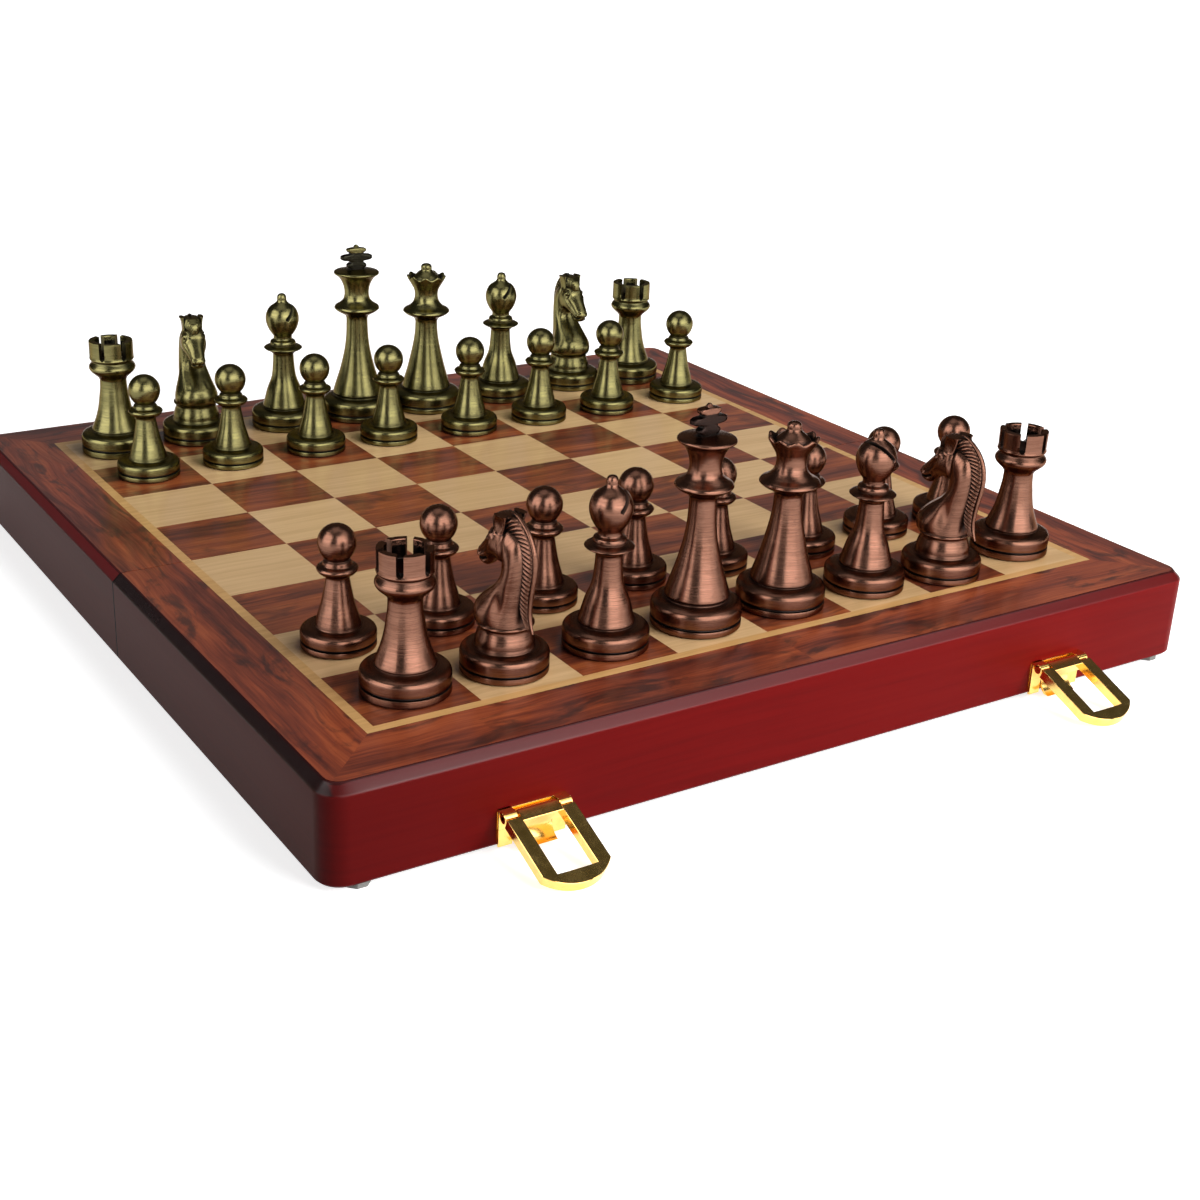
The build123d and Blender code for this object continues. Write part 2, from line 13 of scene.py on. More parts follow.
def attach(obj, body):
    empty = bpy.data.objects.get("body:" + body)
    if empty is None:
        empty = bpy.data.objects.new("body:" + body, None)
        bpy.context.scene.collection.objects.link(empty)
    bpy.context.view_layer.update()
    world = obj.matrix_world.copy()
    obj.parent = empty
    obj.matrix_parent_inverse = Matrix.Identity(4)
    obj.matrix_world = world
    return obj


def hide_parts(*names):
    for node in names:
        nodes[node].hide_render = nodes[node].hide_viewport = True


MM = 0.001
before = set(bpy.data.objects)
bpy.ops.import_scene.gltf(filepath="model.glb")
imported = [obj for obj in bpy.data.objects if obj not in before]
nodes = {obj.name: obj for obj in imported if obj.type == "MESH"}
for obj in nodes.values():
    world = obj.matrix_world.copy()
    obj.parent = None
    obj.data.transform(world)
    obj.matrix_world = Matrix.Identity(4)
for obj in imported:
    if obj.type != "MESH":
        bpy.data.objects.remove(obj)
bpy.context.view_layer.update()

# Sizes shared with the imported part. Round a field of eight by eight squares lie the stringing,
# the border and the rim of the case. The middle of the board lies at fold_y.
square = 31.25
stringing_width = 3.0
border_width = 19.0
rim_width = 3.0
wall = 8.0
case_half = 4 * square + stringing_width + border_width + rim_width
inner_half = case_half - wall
fold_gap = 0.15
fold_wall = fold_gap + wall
case_bottom = 1.4
board_top = 29.4
panel_bottom = 25.4
foam_bottom = 5.0
corner_radius = 7.0
fold_y = 10.856
hinge_places = (-75.0, 75.0)
latch_places = {"left": -93.0, "right": 93.0}
latch_half = 9.95
latch_barrel = 1.5
latch_axis = (-case_half - 2.6 + fold_y, 10.6)
flap_slope = 21.33
royal_base = 13.2
officer_base = 12.25
pawn_base = 10.6
felt_top = 0.3


# Forms


def smooth(points, step=0.12):
    """A smooth line through points: cubic pieces whose slope at a point is the mean of that to
    its neighbours, weighted by how near they are."""
    points = np.asarray(points, float)
    along = np.r_[0, np.cumsum(np.linalg.norm(np.diff(points, axis=0), axis=1))]
    slope = np.gradient(points, along, axis=0)
    where = np.linspace(0, along[-1], max(3, int(along[-1] / step) + 1))
    k = np.clip(np.searchsorted(along, where, side="right") - 1, 0, len(along) - 2)
    span = (along[k + 1] - along[k])[:, None]
    s = (where[:, None] - along[k][:, None]) / span
    return (
        (1 + 2 * s) * (1 - s) ** 2 * points[k]
        + s * (1 - s) ** 2 * span * slope[k]
        + s * s * (3 - 2 * s) * points[k + 1]
        + s * s * (s - 1) * span * slope[k + 1]
    )


def even(line, count):
    """The line again at evenly spaced places."""
    along = np.r_[0, np.cumsum(np.linalg.norm(np.diff(line, axis=0), axis=1))]
    where = np.linspace(0, along[-1], count)
    return np.stack([np.interp(where, along, column) for column in line.T], axis=1)


def softened(line, reach):
    """The line with its corners rounded by a bell-shaped mean over the reach, its ends kept."""
    step = np.linalg.norm(np.diff(line, axis=0), axis=1).mean()
    half = max(1, int(3 * reach / step))
    bell = np.exp(-0.5 * (np.arange(-half, half + 1) * step / reach) ** 2)
    bell /= bell.sum()
    before = 2 * line[:1] - line[half:0:-1]
    after = 2 * line[-1:] - line[-2 : -half - 2 : -1]
    padded = np.concatenate([before, line, after])
    return np.stack([np.convolve(column, bell, mode="valid") for column in padded.T], axis=1)


def profile(*runs, soften=0.16, error=0.012, longest=1.6, spacing=0.06):
    """The line of a turned piece. Each run is smooth and runs meet at corners, which are
    rounded. Points lie closer together where the line bends more."""
    line = np.concatenate([smooth(run) for run in runs])
    line = line[np.r_[True, np.linalg.norm(np.diff(line, axis=0), axis=1) > 1e-6]]
    length = np.linalg.norm(np.diff(line, axis=0), axis=1).sum()
    line = softened(even(line, int(length / spacing)), soften)
    step = np.linalg.norm(np.diff(line, axis=0), axis=1)
    heading = np.unwrap(np.arctan2(*np.diff(line, axis=0).T[1::-1]))
    bend = np.r_[0, np.abs(np.diff(heading)) / step[1:]]
    dense = np.cumsum((np.sqrt(bend / (8 * error)) + 1 / longest) * step)
    dense = np.r_[0, dense]
    where = np.linspace(0, dense[-1], int(dense[-1]) + 2)
    return np.stack([np.interp(where, dense, column) for column in line.T], axis=1)


def turned(line, columns=72, wave=None):
    """The line turned about the vertical axis: a point of radius r at angle a is at r cos a,
    r sin a. A wave takes the angle and gives how far each point moves out and up."""
    angle = 2 * pi * np.arange(columns) / columns
    radius = line[:, :1] + 0 * angle
    height = line[:, 1:2] + 0 * angle
    if wave:
        out, up = wave(line[:, :1], line[:, 1:2], angle)
        radius, height = radius + out, height + up
    return np.stack([radius * np.cos(angle), radius * np.sin(angle), height], axis=-1)


def swept(section, along):
    """A closed section of (y, z) points carried straight along X through the given places."""
    section = np.asarray(section, float)
    grid = np.zeros((len(along), len(section), 3))
    grid[..., 0] = np.asarray(along, float)[:, None]
    grid[..., 1:] = section
    return grid


def plank(x, y, z, stops=2):
    """A straight plank between two places on each axis, with a few stops along X."""
    section = [(y[0], z[0]), (y[1], z[0]), (y[1], z[1]), (y[0], z[1])]
    return swept(section, np.linspace(*x, stops))


def boxy(wave, power):
    """A sine or cosine raised to a power below one, with its sign kept, so that a round turns
    into a rectangle with rounded corners."""
    return np.sign(wave) * np.abs(wave) ** power


def lifted(line, z):
    """The (x, y) points of a line at one height."""
    return np.insert(line, 2, z, axis=1)


class Form:
    """Surfaces in mm that become one mesh. Each holds its own place on the piece, in mm, for
    patterns that follow the surface."""

    def __init__(self):
        self.points, self.own, self.faces, self.finish = [], [], [], []
        self.count = 0

    def add(self, grid, caps=False, finish=0):
        """A grid of rows and columns, whose last column joins the first. Caps close the first
        and last rows."""
        rows, columns = grid.shape[:2]
        index = np.arange(rows * columns).reshape(rows, columns) + self.count
        after = np.roll(index, -1, axis=1)
        quads = np.stack([index[:-1], after[:-1], after[1:], index[1:]], axis=-1)
        quads = quads.reshape(-1, 4).tolist()
        if caps:
            quads += [index[0][::-1].tolist(), index[-1].tolist()]
        run = np.linalg.norm(np.diff(grid, axis=0), axis=2).mean(axis=1)
        own = grid.copy()
        own[..., 2] = np.r_[0, np.cumsum(run)][:, None]
        self.points.append(grid.reshape(-1, 3))
        self.own.append(own.reshape(-1, 3))
        self.faces += quads
        self.finish += [finish] * len(quads)
        self.count += rows * columns
        return self

    def mesh(self, name, sharp=38):
        """One mesh with doubles merged, faces turned outwards and smooth but for sharp edges."""
        made = bpy.data.meshes.new(name)
        made.from_pydata((np.concatenate(self.points) * MM).tolist(), [], self.faces)
        own = made.attributes.new("own", "FLOAT_VECTOR", "POINT")
        own.data.foreach_set("vector", np.concatenate(self.own).ravel())
        made.polygons.foreach_set("material_index", self.finish)
        made.polygons.foreach_set("use_smooth", [True] * len(self.faces))
        shape = bmesh.new()
        shape.from_mesh(made)
        bmesh.ops.remove_doubles(shape, verts=shape.verts, dist=2e-6)
        bmesh.ops.dissolve_degenerate(shape, dist=1e-6, edges=shape.edges)
        bmesh.ops.recalc_face_normals(shape, faces=shape.faces)
        shape.to_mesh(made)
        shape.free()
        made.set_sharp_from_angle(angle=radians(sharp))
        return made


def moved(mesh, x, y, z, turn=Matrix.Identity(4)):
    """The mesh turned, then moved by so many mm."""
    mesh.transform(Matrix.Translation(Vector((x, y, z)) * MM) @ turn)
    return mesh


def piece(mesh, name, body, replaced, materials):
    """A shown piece that rides on a body and stands for the nodes that it replaces."""
    made = bpy.data.objects.new(name, mesh)
    bpy.context.scene.collection.objects.link(made)
    for material in materials:
        mesh.materials.append(material)
    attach(made, body)
    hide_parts(*replaced)
    return made


# Materials


class Link:
    """An output socket. Operators on it add Math nodes to its sheet."""

    def __init__(self, sheet, socket):
        self.sheet, self.socket = sheet, socket

    def math(self, operation, *values):
        return self.sheet.node("Math", {"operation": operation}, dict(enumerate(values)))

    def __add__(self, other):
        return self.math("ADD", self, other)

    def __mul__(self, other):
        return self.math("MULTIPLY", self, other)

    def __sub__(self, other):
        return self.math("SUBTRACT", self, other)

    def __rsub__(self, other):
        return self.math("SUBTRACT", other, self)

    def __gt__(self, other):
        return self.math("GREATER_THAN", self, other)

    def __lt__(self, other):
        return self.math("LESS_THAN", self, other)

    def __floordiv__(self, number):
        return self.math("FLOOR", self * (1 / number))

    def __abs__(self):
        return self.math("ABSOLUTE", self)

    __radd__, __rmul__ = __add__, __mul__


class Sheet:
    """The node tree of one material or of the world."""

    def __init__(self, tree):
        self.tree = tree
        tree.nodes.clear()

    def node(self, kind, settings=None, values=None, out=0):
        """A node: its settings come first, then its sockets get values or links."""
        made = self.tree.nodes.new("ShaderNode" + kind)
        for key, value in (settings or {}).items():
            if key == "stops":
                for i, (place, color) in enumerate(value):
                    stop = made.color_ramp.elements[i] if i < 2 else made.color_ramp.elements.new(place)
                    stop.position, stop.color = place, (*color, 1)
            else:
                setattr(made, key, value)
        for key, value in (values or {}).items():
            socket = made.inputs[key]
            if isinstance(value, Link):
                self.tree.links.new(value.socket, socket)
            elif socket.type == "RGBA" and len(value) == 3:
                socket.default_value = (*value, 1)
            else:
                socket.default_value = value
        return Link(self, made.outputs[out]) if len(made.outputs) else None

    def place(self):
        """Place on the object in mm."""
        spot = self.node("TexCoord", out="Object")
        return self.node("VectorMath", {"operation": "SCALE"}, {0: spot, "Scale": 1 / MM})

    def own(self):
        """Place along the piece's own line, in mm, that its mesh keeps."""
        return self.node("Attribute", {"attribute_name": "own"}, out="Vector")

    def parts(self, vector):
        made = self.node("SeparateXYZ", values={0: vector}).socket.node
        return [Link(self, socket) for socket in made.outputs]

    def vector(self, *values):
        return self.node("CombineXYZ", values=dict(enumerate(values)))

    def stretched(self, vector, scale):
        return self.node("VectorMath", {"operation": "MULTIPLY"}, {0: vector, 1: scale})

    def noise(self, vector, detail, roughness=0.5, distortion=0.0):
        values = {"Vector": vector, "Scale": 1.0, "Detail": detail}
        values |= {"Roughness": roughness, "Distortion": distortion}
        return self.node("TexNoise", None, values, "Fac")

    def ramp(self, value, *stops):
        return self.node("ValToRGB", {"stops": stops}, {0: value})

    def fit(self, value, low, high, to_low=0.0, to_high=1.0):
        values = {0: value, 1: low, 2: high, 3: to_low, 4: to_high}
        return self.node("MapRange", {"clamp": True}, values)

    def mix(self, factor, low, high):
        """Colour between low and high. Its sockets share names, so the enabled ones are used."""
        made = self.node("Mix", {"data_type": "RGBA"}).socket.node
        for key, value in {"Factor": factor, "A": low, "B": high}.items():
            socket = next(s for s in made.inputs if s.name == key and s.enabled)
            if isinstance(value, Link):
                self.tree.links.new(value.socket, socket)
            else:
                socket.default_value = (*value, 1) if key != "Factor" else value
        return Link(self, next(s for s in made.outputs if s.enabled))

    def bump(self, height, depth, strength):
        values = {"Strength": strength, "Distance": depth * MM, "Height": height}
        return self.node("Bump", None, values)

    def surface(self, **values):
        """The material's shader: base_color sets Base Color, and so on."""
        titles = {key.replace("_", " ").title().replace("Ior", "IOR"): values[key] for key in values}
        self.node("OutputMaterial", None, {"Surface": self.node("BsdfPrincipled", None, titles)})

    def rays(self, *kinds):
        """One where a ray of these kinds looks, such as Camera or Glossy."""
        outputs = self.node("LightPath").socket.node.outputs
        return sum(Link(self, outputs[f"Is {kind} Ray"]) for kind in kinds)


def material(name):
    """A new material and the sheet of its nodes."""
    made = bpy.data.materials.new(name)
    made.use_nodes = True
    return made, Sheet(made.node_tree)


def rosewood(name, along_strips):
    """Red-brown veneer with dark smoky streaks and fine pores along the grain. The grain runs
    along X on squares, and along each strip of the border, which meet on the diagonals. The
    border is a little redder, and its smoke is stronger."""
    made, sheet = material(name)
    x, y, _ = sheet.parts(sheet.place())
    y = y - fold_y
    green, smokiness = (0.85, 0.8) if along_strips else (1.0, 0.5)
    if along_strips:
        side = abs(x) > abs(y)
        u = side * y + (1 - side) * x
        v = side * x + (1 - side) * y
        cell = side * 7.0 + (x > 0) * 3.0 + (y > 0) * 1.7
    else:
        u, v = x, y
        cell = (x // square) * 3.37 + (y // square) * 7.91
    sway = sheet.noise(sheet.vector(u * 0.02, v * 0.03, cell), 2.0)
    across = v + sway * 9.0
    broad = sheet.noise(sheet.vector(u * 0.012, across * 0.16, cell), 4.0, 0.55, 0.3)
    fine = sheet.noise(sheet.vector(u * 0.05, across * 1.3, cell), 4.0, 0.6)
    smoke = sheet.noise(sheet.vector(u * 0.035, across * 0.11, cell + 5.0), 5.0, 0.62, 1.2)
    pores = sheet.noise(sheet.vector(u * 0.25, v * 5.0, cell), 2.0)
    color = sheet.ramp(
        broad * 0.7 + fine * 0.3,
        (0.38, (0.085, 0.017 * green, 0.008)),
        (0.46, (0.165, 0.036 * green, 0.014)),
        (0.53, (0.25, 0.056 * green, 0.018)),
        (0.63, (0.38, 0.098 * green, 0.028)),
    )
    color = sheet.mix(sheet.fit(smoke, 0.52, 0.64) * smokiness, color, (0.04, 0.012, 0.009))
    color = sheet.mix(sheet.fit(pores, 0.62, 0.74) * 0.35, color, (0.05, 0.012, 0.006))
    sheet.surface(
        base_color=color,
        roughness=sheet.fit(fine, 0.3, 0.7, 0.42, 0.3),
        specular_ior_level=0.3,
        coat_weight=0.45,
        coat_roughness=0.16,
        coat_ior=1.45,
        normal=sheet.bump(fine * 0.5 + pores * 0.5, 0.02, 0.5),
    )
    return made


def pale_veneer(name, dark, light, squares=True):
    """Pale veneer with faint straight grain and, on squares, a cut and a tone for each one."""
    made, sheet = material(name)
    x, y, _ = sheet.parts(sheet.place())
    y = y - fold_y
    cell, tone = 0.0, 0.08
    if squares:
        column, row = x // square, y // square
        cell = column * 5.13 + row * 2.71
        spot = {"Vector": sheet.vector(column, row, 0.0)}
        tone = sheet.node("TexWhiteNoise", {"noise_dimensions": "2D"}, spot, "Value") * 0.15
    sway = sheet.noise(sheet.vector(x * 0.02, y * 0.03, cell), 1.0)
    across = y + sway * 5.0
    grain = sheet.noise(sheet.vector(x * 0.018, across * 0.5, cell), 4.0, 0.55)
    fine = sheet.noise(sheet.vector(x * 0.06, across * 3.2, cell), 3.0, 0.6)
    sheet.surface(
        base_color=sheet.ramp(grain * 0.6 + fine * 0.25 + tone, (0.36, dark), (0.62, light)),
        roughness=sheet.fit(fine, 0.3, 0.7, 0.42, 0.32),
        specular_ior_level=0.3,
        coat_weight=0.5,
        coat_roughness=0.16,
        coat_ior=1.45,
        normal=sheet.bump(fine, 0.02, 0.4),
    )
    return made


def lacquer(name):
    """Crimson stain under a glossy coat, with long faint grain round the walls. Painted shade
    darkens it towards the left and on the sloping edges. The left wall gets a painted brown-grey
    reflection. Its sloping edge gets painted shade, nearly black, on the front half and painted
    light, bright red, on the back half. The fold's seam and the corner where the veneer ends are
    dark. The sloping edges shine most, but not at the near left corner."""
    made, sheet = material(name)
    x, y, z = sheet.parts(sheet.place())
    sway = sheet.noise(sheet.vector(x * 0.012, y * 0.012, z * 0.05), 2.0)
    grain = sheet.noise(sheet.vector(x * 0.02, y * 0.02, z * 0.55 + sway * 2.0), 4.0, 0.6)
    cloud = sheet.noise(sheet.vector(x * 0.01, y * 0.01, z * 0.04), 2.0)
    y = y - fold_y
    pores = sheet.noise(sheet.vector(x * 0.3, y * 0.3, z * 0.5), 2.0)
    leftwards, from_fold = x * -1.0, abs(y)
    slope_foot, veneer_end = board_top - 2.9, case_half - 2.35
    sloping = sheet.fit(z, slope_foot, slope_foot + 0.5)
    left_slope = sheet.fit(leftwards, case_half - 3.4, case_half - 2.6) * sloping
    left_wall = sheet.fit(leftwards, case_half - 0.6, case_half - 0.1)
    near_left = sheet.fit((x + y) * -1.0, 2 * case_half - 12.0, 2 * case_half - 6.0)
    inside = (abs(x) < veneer_end) * (from_fold < veneer_end) * (z > board_top - 0.6)
    # Painted light on the left slope: nearly black shade on its front half, bright red on its back
    # half.
    painted_slope_light = sheet.mix(y > 0.0, (0.012, 0.002, 0.002), (0.30, 0.010, 0.012))
    color = sheet.ramp(
        grain * 0.6 + cloud * 0.4,
        (0.3, (0.20, 0.003, 0.003)),
        (0.5, (0.25, 0.004, 0.004)),
        (0.7, (0.28, 0.006, 0.005)),
    )
    # Painted shade, deeper towards the left.
    shade = sheet.fit(leftwards, 20.0, case_half, 0.0, 0.45)
    # Over the stain: painted shade to the left and on the sloping edges, the painted light of the left
    # slope, a painted brown-grey reflection on the left wall, then the dark fold seam and the dark
    # corner where the veneer ends.
    for share, tone in (
        (shade, (0.04, 0.003, 0.003)),
        (sloping * 0.6, (0.03, 0.003, 0.003)),
        (left_slope * 0.85, painted_slope_light),
        (left_wall * 0.5, (0.08, 0.03, 0.015)),
        ((from_fold < 0.5) * 0.9, (0.004, 0.002, 0.002)),
        (inside * 0.8, (0.03, 0.002, 0.002)),
    ):
        color = sheet.mix(share, color, tone)
    sheet.surface(
        base_color=color,
        roughness=0.5,
        specular_ior_level=0.05,
        coat_weight=0.07 + sloping * (0.79 - 0.6 * near_left) - 0.04 * left_wall,
        coat_roughness=0.25,
        coat_ior=1.45,
        normal=sheet.bump(pores, 0.05, 0.3),
    )
    return made


def antique(name, dark, mid, bright):
    """Plated metal with dark patina left in every recess, rubbed bright on the open surface,
    and fine brush lines round each turned form."""
    made, sheet = material(name)
    own = sheet.own()
    brush = sheet.noise(sheet.stretched(own, (0.1, 0.1, 4.5)), 3.0, 0.75)
    cloud = sheet.noise(sheet.stretched(own, (0.22, 0.22, 0.3)), 2.0)
    specks = sheet.noise(sheet.stretched(own, (1.6, 1.6, 1.6)), 2.0)
    reach = {"Distance": 2.6 * MM}
    shelter = sheet.node("AmbientOcclusion", {"samples": 8, "only_local": True}, reach, "AO")
    rubbed = sheet.fit(shelter + cloud * 0.08 + brush * 0.1, 0.6, 1.02)
    tone = sheet.mix(sheet.fit(brush * 0.8 + cloud * 0.2, 0.25, 0.75), mid, bright)
    color = sheet.mix(rubbed, dark, tone)
    color = sheet.mix(sheet.fit(specks, 0.68, 0.74) * 0.5, color, dark)
    sheet.surface(
        base_color=color,
        metallic=sheet.fit(rubbed, 0.0, 0.5, 0.55, 1.0),
        roughness=sheet.fit(rubbed * 0.8 + brush * 0.2, 0.1, 0.95, 0.42, 0.22),
        specular_tint=(0.5, 0.4, 0.35),
        normal=sheet.bump(brush, 0.045, 1.0),
        coat_weight=0.12,
        coat_roughness=0.25,
    )
    return made


def polished_gold(name):
    """Gold plating with a mirror polish and faint wear."""
    made, sheet = material(name)
    spot = sheet.place()
    worn = sheet.noise(sheet.stretched(spot, (0.35, 0.35, 0.35)), 3.0)
    fine = sheet.noise(sheet.stretched(spot, (3.0, 0.6, 3.0)), 2.0)
    sheet.surface(
        base_color=sheet.mix(worn, (0.86, 0.52, 0.12), (1.0, 0.70, 0.25)),
        metallic=1.0,
        roughness=sheet.fit(worn * 0.6 + fine * 0.4, 0.35, 0.7, 0.12, 0.22),
        normal=sheet.bump(fine, 0.004, 0.1),
    )
    return made


def flock(name, color):
    """Short pile: matt, with a mottled nap."""
    made, sheet = material(name)
    spot = sheet.place()
    nap = sheet.noise(sheet.stretched(spot, (0.25, 0.25, 0.25)), 3.0)
    pile = sheet.noise(sheet.stretched(spot, (5.0, 5.0, 5.0)), 2.0)
    low, high = (tuple(share * c for c in color) for share in (0.6, 1.5))
    sheet.surface(
        base_color=sheet.mix(nap * 0.5 + pile * 0.5, low, high),
        roughness=0.95,
        sheen_weight=0.35,
        normal=sheet.bump(pile, 0.15, 0.6),
    )
    return made


def plywood(name):
    """Bare birch face with open straight grain."""
    made, sheet = material(name)
    x, y, z = sheet.parts(sheet.place())
    grain = sheet.noise(sheet.vector(x * 0.02, y * 0.6, z * 0.6), 4.0, 0.6)
    sheet.surface(
        base_color=sheet.ramp(grain, (0.35, (0.36, 0.24, 0.13)), (0.65, (0.56, 0.42, 0.26))),
        roughness=0.7,
        normal=sheet.bump(grain, 0.05, 0.5),
    )
    return made


red = lacquer("red_lacquer")
dark_square = rosewood("dark_veneer", False)
border = rosewood("border_veneer", True)
light_square = pale_veneer("light_veneer", (0.61, 0.375, 0.17), (0.76, 0.50, 0.25))
honey = pale_veneer("honey_stringing", (0.56, 0.30, 0.10), (0.72, 0.42, 0.16), False)
# Tones of each metal in its recesses, where it is dull and where it is rubbed. The last two
# are painted shade, nearly black: they line the rooks' wells, with the patina of the wells,
# and cover the foot and arms of the kings' crosses.
metal_tones = {
    "antique_copper": ((0.012, 0.008, 0.007), (0.10, 0.037, 0.021), (0.27, 0.130, 0.086)),
    "antique_green_brass": ((0.012, 0.012, 0.008), (0.085, 0.078, 0.027), (0.245, 0.215, 0.085)),
    "painted_shade_copper": ((0.006, 0.005, 0.004), (0.012, 0.007, 0.006), (0.03, 0.015, 0.011)),
    "painted_shade_green_brass": ((0.006, 0.006, 0.005), (0.012, 0.011, 0.007), (0.028, 0.026, 0.015)),
}
copper, bronze, painted_shade_copper, painted_shade_bronze = (
    antique(name, *tones) for name, tones in metal_tones.items()
)
gold = polished_gold("polished_gold")
felt = flock("black_felt", (0.02, 0.02, 0.02))
pale_felt = flock("pale_felt", (0.42, 0.41, 0.39))
foam = flock("flocked_foam", (0.022, 0.022, 0.024))
ply = plywood("bare_plywood")

# Nodes that the CAD's own solids show
carried = {
    "light_squares": light_square,
    "dark_squares": dark_square,
    "stringing": honey,
    "border_veneer": border,
    "top_panel": ply,
    "hinge_leaves": gold,
    "felt_bumpers": pale_felt,
    "screws": gold,
}
painted = {f"{half}_{part}": finish for half in ("front", "back") for part, finish in carried.items()}
painted |= dict.fromkeys(("hinge_pins", "latch_pins", "catch_plates"), gold)
for name, finish in painted.items():
    nodes[name].data.materials.clear()
    nodes[name].data.materials.append(finish)


# Case


def half_outline(inset, side):
    """Points round one half at an inset from its face, rounded at its two outer corners."""
    corner = max(corner_radius - inset, 0.0)
    size = case_half - inset
    start = size - corner
    turn = np.linspace(0, pi / 2, 14)
    straight = np.linspace(fold_gap, start, 6)[:-1]
    rounded = np.c_[start + corner * np.cos(turn), start + corner * np.sin(turn)]
    right = np.concatenate([np.c_[size + 0 * straight, straight], rounded])
    across = np.linspace(start, -start, 12)[1:-1]
    middle = np.c_[across, size + 0 * across]
    return np.concatenate([right, middle, (right * (-1, 1))[::-1]]) * (1, side)


# Where the upright wall bends into the sloping edge: how far in from the wall, and how far
# below the board's top. The slope bends into the top in the same way.
eased = ((0.0, 3.1), (0.03, 2.85), (0.12, 2.62), (0.28, 2.4), (0.45, 2.22))


def case_frame(side, half):
    """Three outer walls as one section carried round the outline, and the wall at the fold,
    with room for the hinges' barrels and leaves."""
    foot, wall_top = 0.8, board_top - 3.2
    section = [(wall, case_bottom), (foot, case_bottom), (0.0, case_bottom + foot)]
    section += [(0.0, z) for z in np.linspace(case_bottom + foot, wall_top, 6)[1:-1]]
    section += [(inset, board_top - drop) for inset, drop in eased]
    section += [(drop, board_top - inset) for inset, drop in eased[:0:-1]]
    section += [(rim_width, board_top - 0.02), (rim_width, panel_bottom), (wall, panel_bottom)]
    form = Form()
    lines = [lifted(half_outline(inset, side), z) for inset, z in section]
    form.add(np.stack(lines, axis=1), caps=True)

    def block(x, y, z):
        form.add(plank(x, (side * y[0], side * y[1]), z, 3), caps=True)

    # Half the length of a hinge's room, and how far in and up its barrel and its leaf reach
    room, barrel_y, barrel_top, leaf_y, leaf_top = 12.85, 1.6, 2.85, 7.6, 2.3
    across = (fold_gap, fold_wall)
    block((-inner_half, inner_half), across, (barrel_top, panel_bottom))
    edges = [-inner_half]
    for x in hinge_places:
        sides = (x - room, x + room)
        edges += sides
        block(sides, (barrel_y, fold_wall), (leaf_top, barrel_top))
        block(sides, (leaf_y, fold_wall), (case_bottom, leaf_top))
    edges.append(inner_half)
    for start, end in zip(edges[::2], edges[1::2]):
        block((start, end), across, (case_bottom, barrel_top))
    mesh = moved(form.mesh(f"{half}_case"), 0, fold_y, 0)
    piece(mesh, f"{half}_case", f"{half}_half", [f"{half}_case_frame"], [red])


case_frame(-1, "front")
case_frame(1, "back")


# Foam inserts


def foam_insert(side, half):
    """Eight blocks side by side, each carried round its slot: from the block's outer side over
    its face and, rounded, down the wall of the slot."""
    form = Form()
    slot_length, lip, bevel, turn_in, boxiness, midway = 103.9, 1.2, 0.6, 0.3, 0.28, 15.0
    half_widths = (12.5, 12.5, 12.5, 13.5, 13.5, 12.5, 12.5, 12.5)
    pitch = 2 * inner_half / len(half_widths)
    middle, half_depth = (inner_half + fold_wall) / 2, (inner_half - fold_wall) / 2
    turn = 2 * pi * (np.arange(96) + 0.5) / 96
    unit = np.c_[np.cos(turn), np.sin(turn)]
    bow = boxy(unit, boxiness)
    edge = unit / np.abs(unit).max(axis=1, keepdims=True) * (pitch / 2, half_depth)
    outside = [
        (edge, panel_bottom),
        (edge, foam_bottom + bevel),
        (edge * (1 - turn_in / (pitch / 2)), foam_bottom),
    ]
    for i, half_width in enumerate(half_widths):
        x = (i - 3.5) * pitch
        slot = np.array([half_width, slot_length / 2])
        rounded = [
            (bow * (slot + lip - lip * sin(a)), foam_bottom + lip - lip * cos(a))
            for a in np.linspace(0, pi / 2, 6)
        ]
        down = [(bow * slot, midway), (bow * slot, panel_bottom), (edge, panel_bottom)]
        grid = np.stack([lifted(line + (x, 0), z) for line, z in outside + rounded + down])
        grid[..., 1] = side * (grid[..., 1] + middle)
        form.add(grid)
    mesh = moved(form.mesh(f"{half}_foam", 60), 0, fold_y, 0)
    made = piece(mesh, f"{half}_foam", f"{half}_half", [f"{half}_foam_insert"], [foam])


foam_insert(-1, "front")
foam_insert(1, "back")


# Latches


def rounded_bar(x, y, z):
    """A round bar of the latch between two places along X, with its ends eased."""
    bevel, length = 0.2, x[1] - x[0]
    end = [(0, 0), (latch_barrel - bevel, 0), (latch_barrel, bevel)]
    grid = turned(np.array(end + [(r, length - h) for r, h in end[::-1]]), 40)
    return np.stack([x[0] + grid[..., 2], y + grid[..., 0], z + grid[..., 1]], axis=-1)


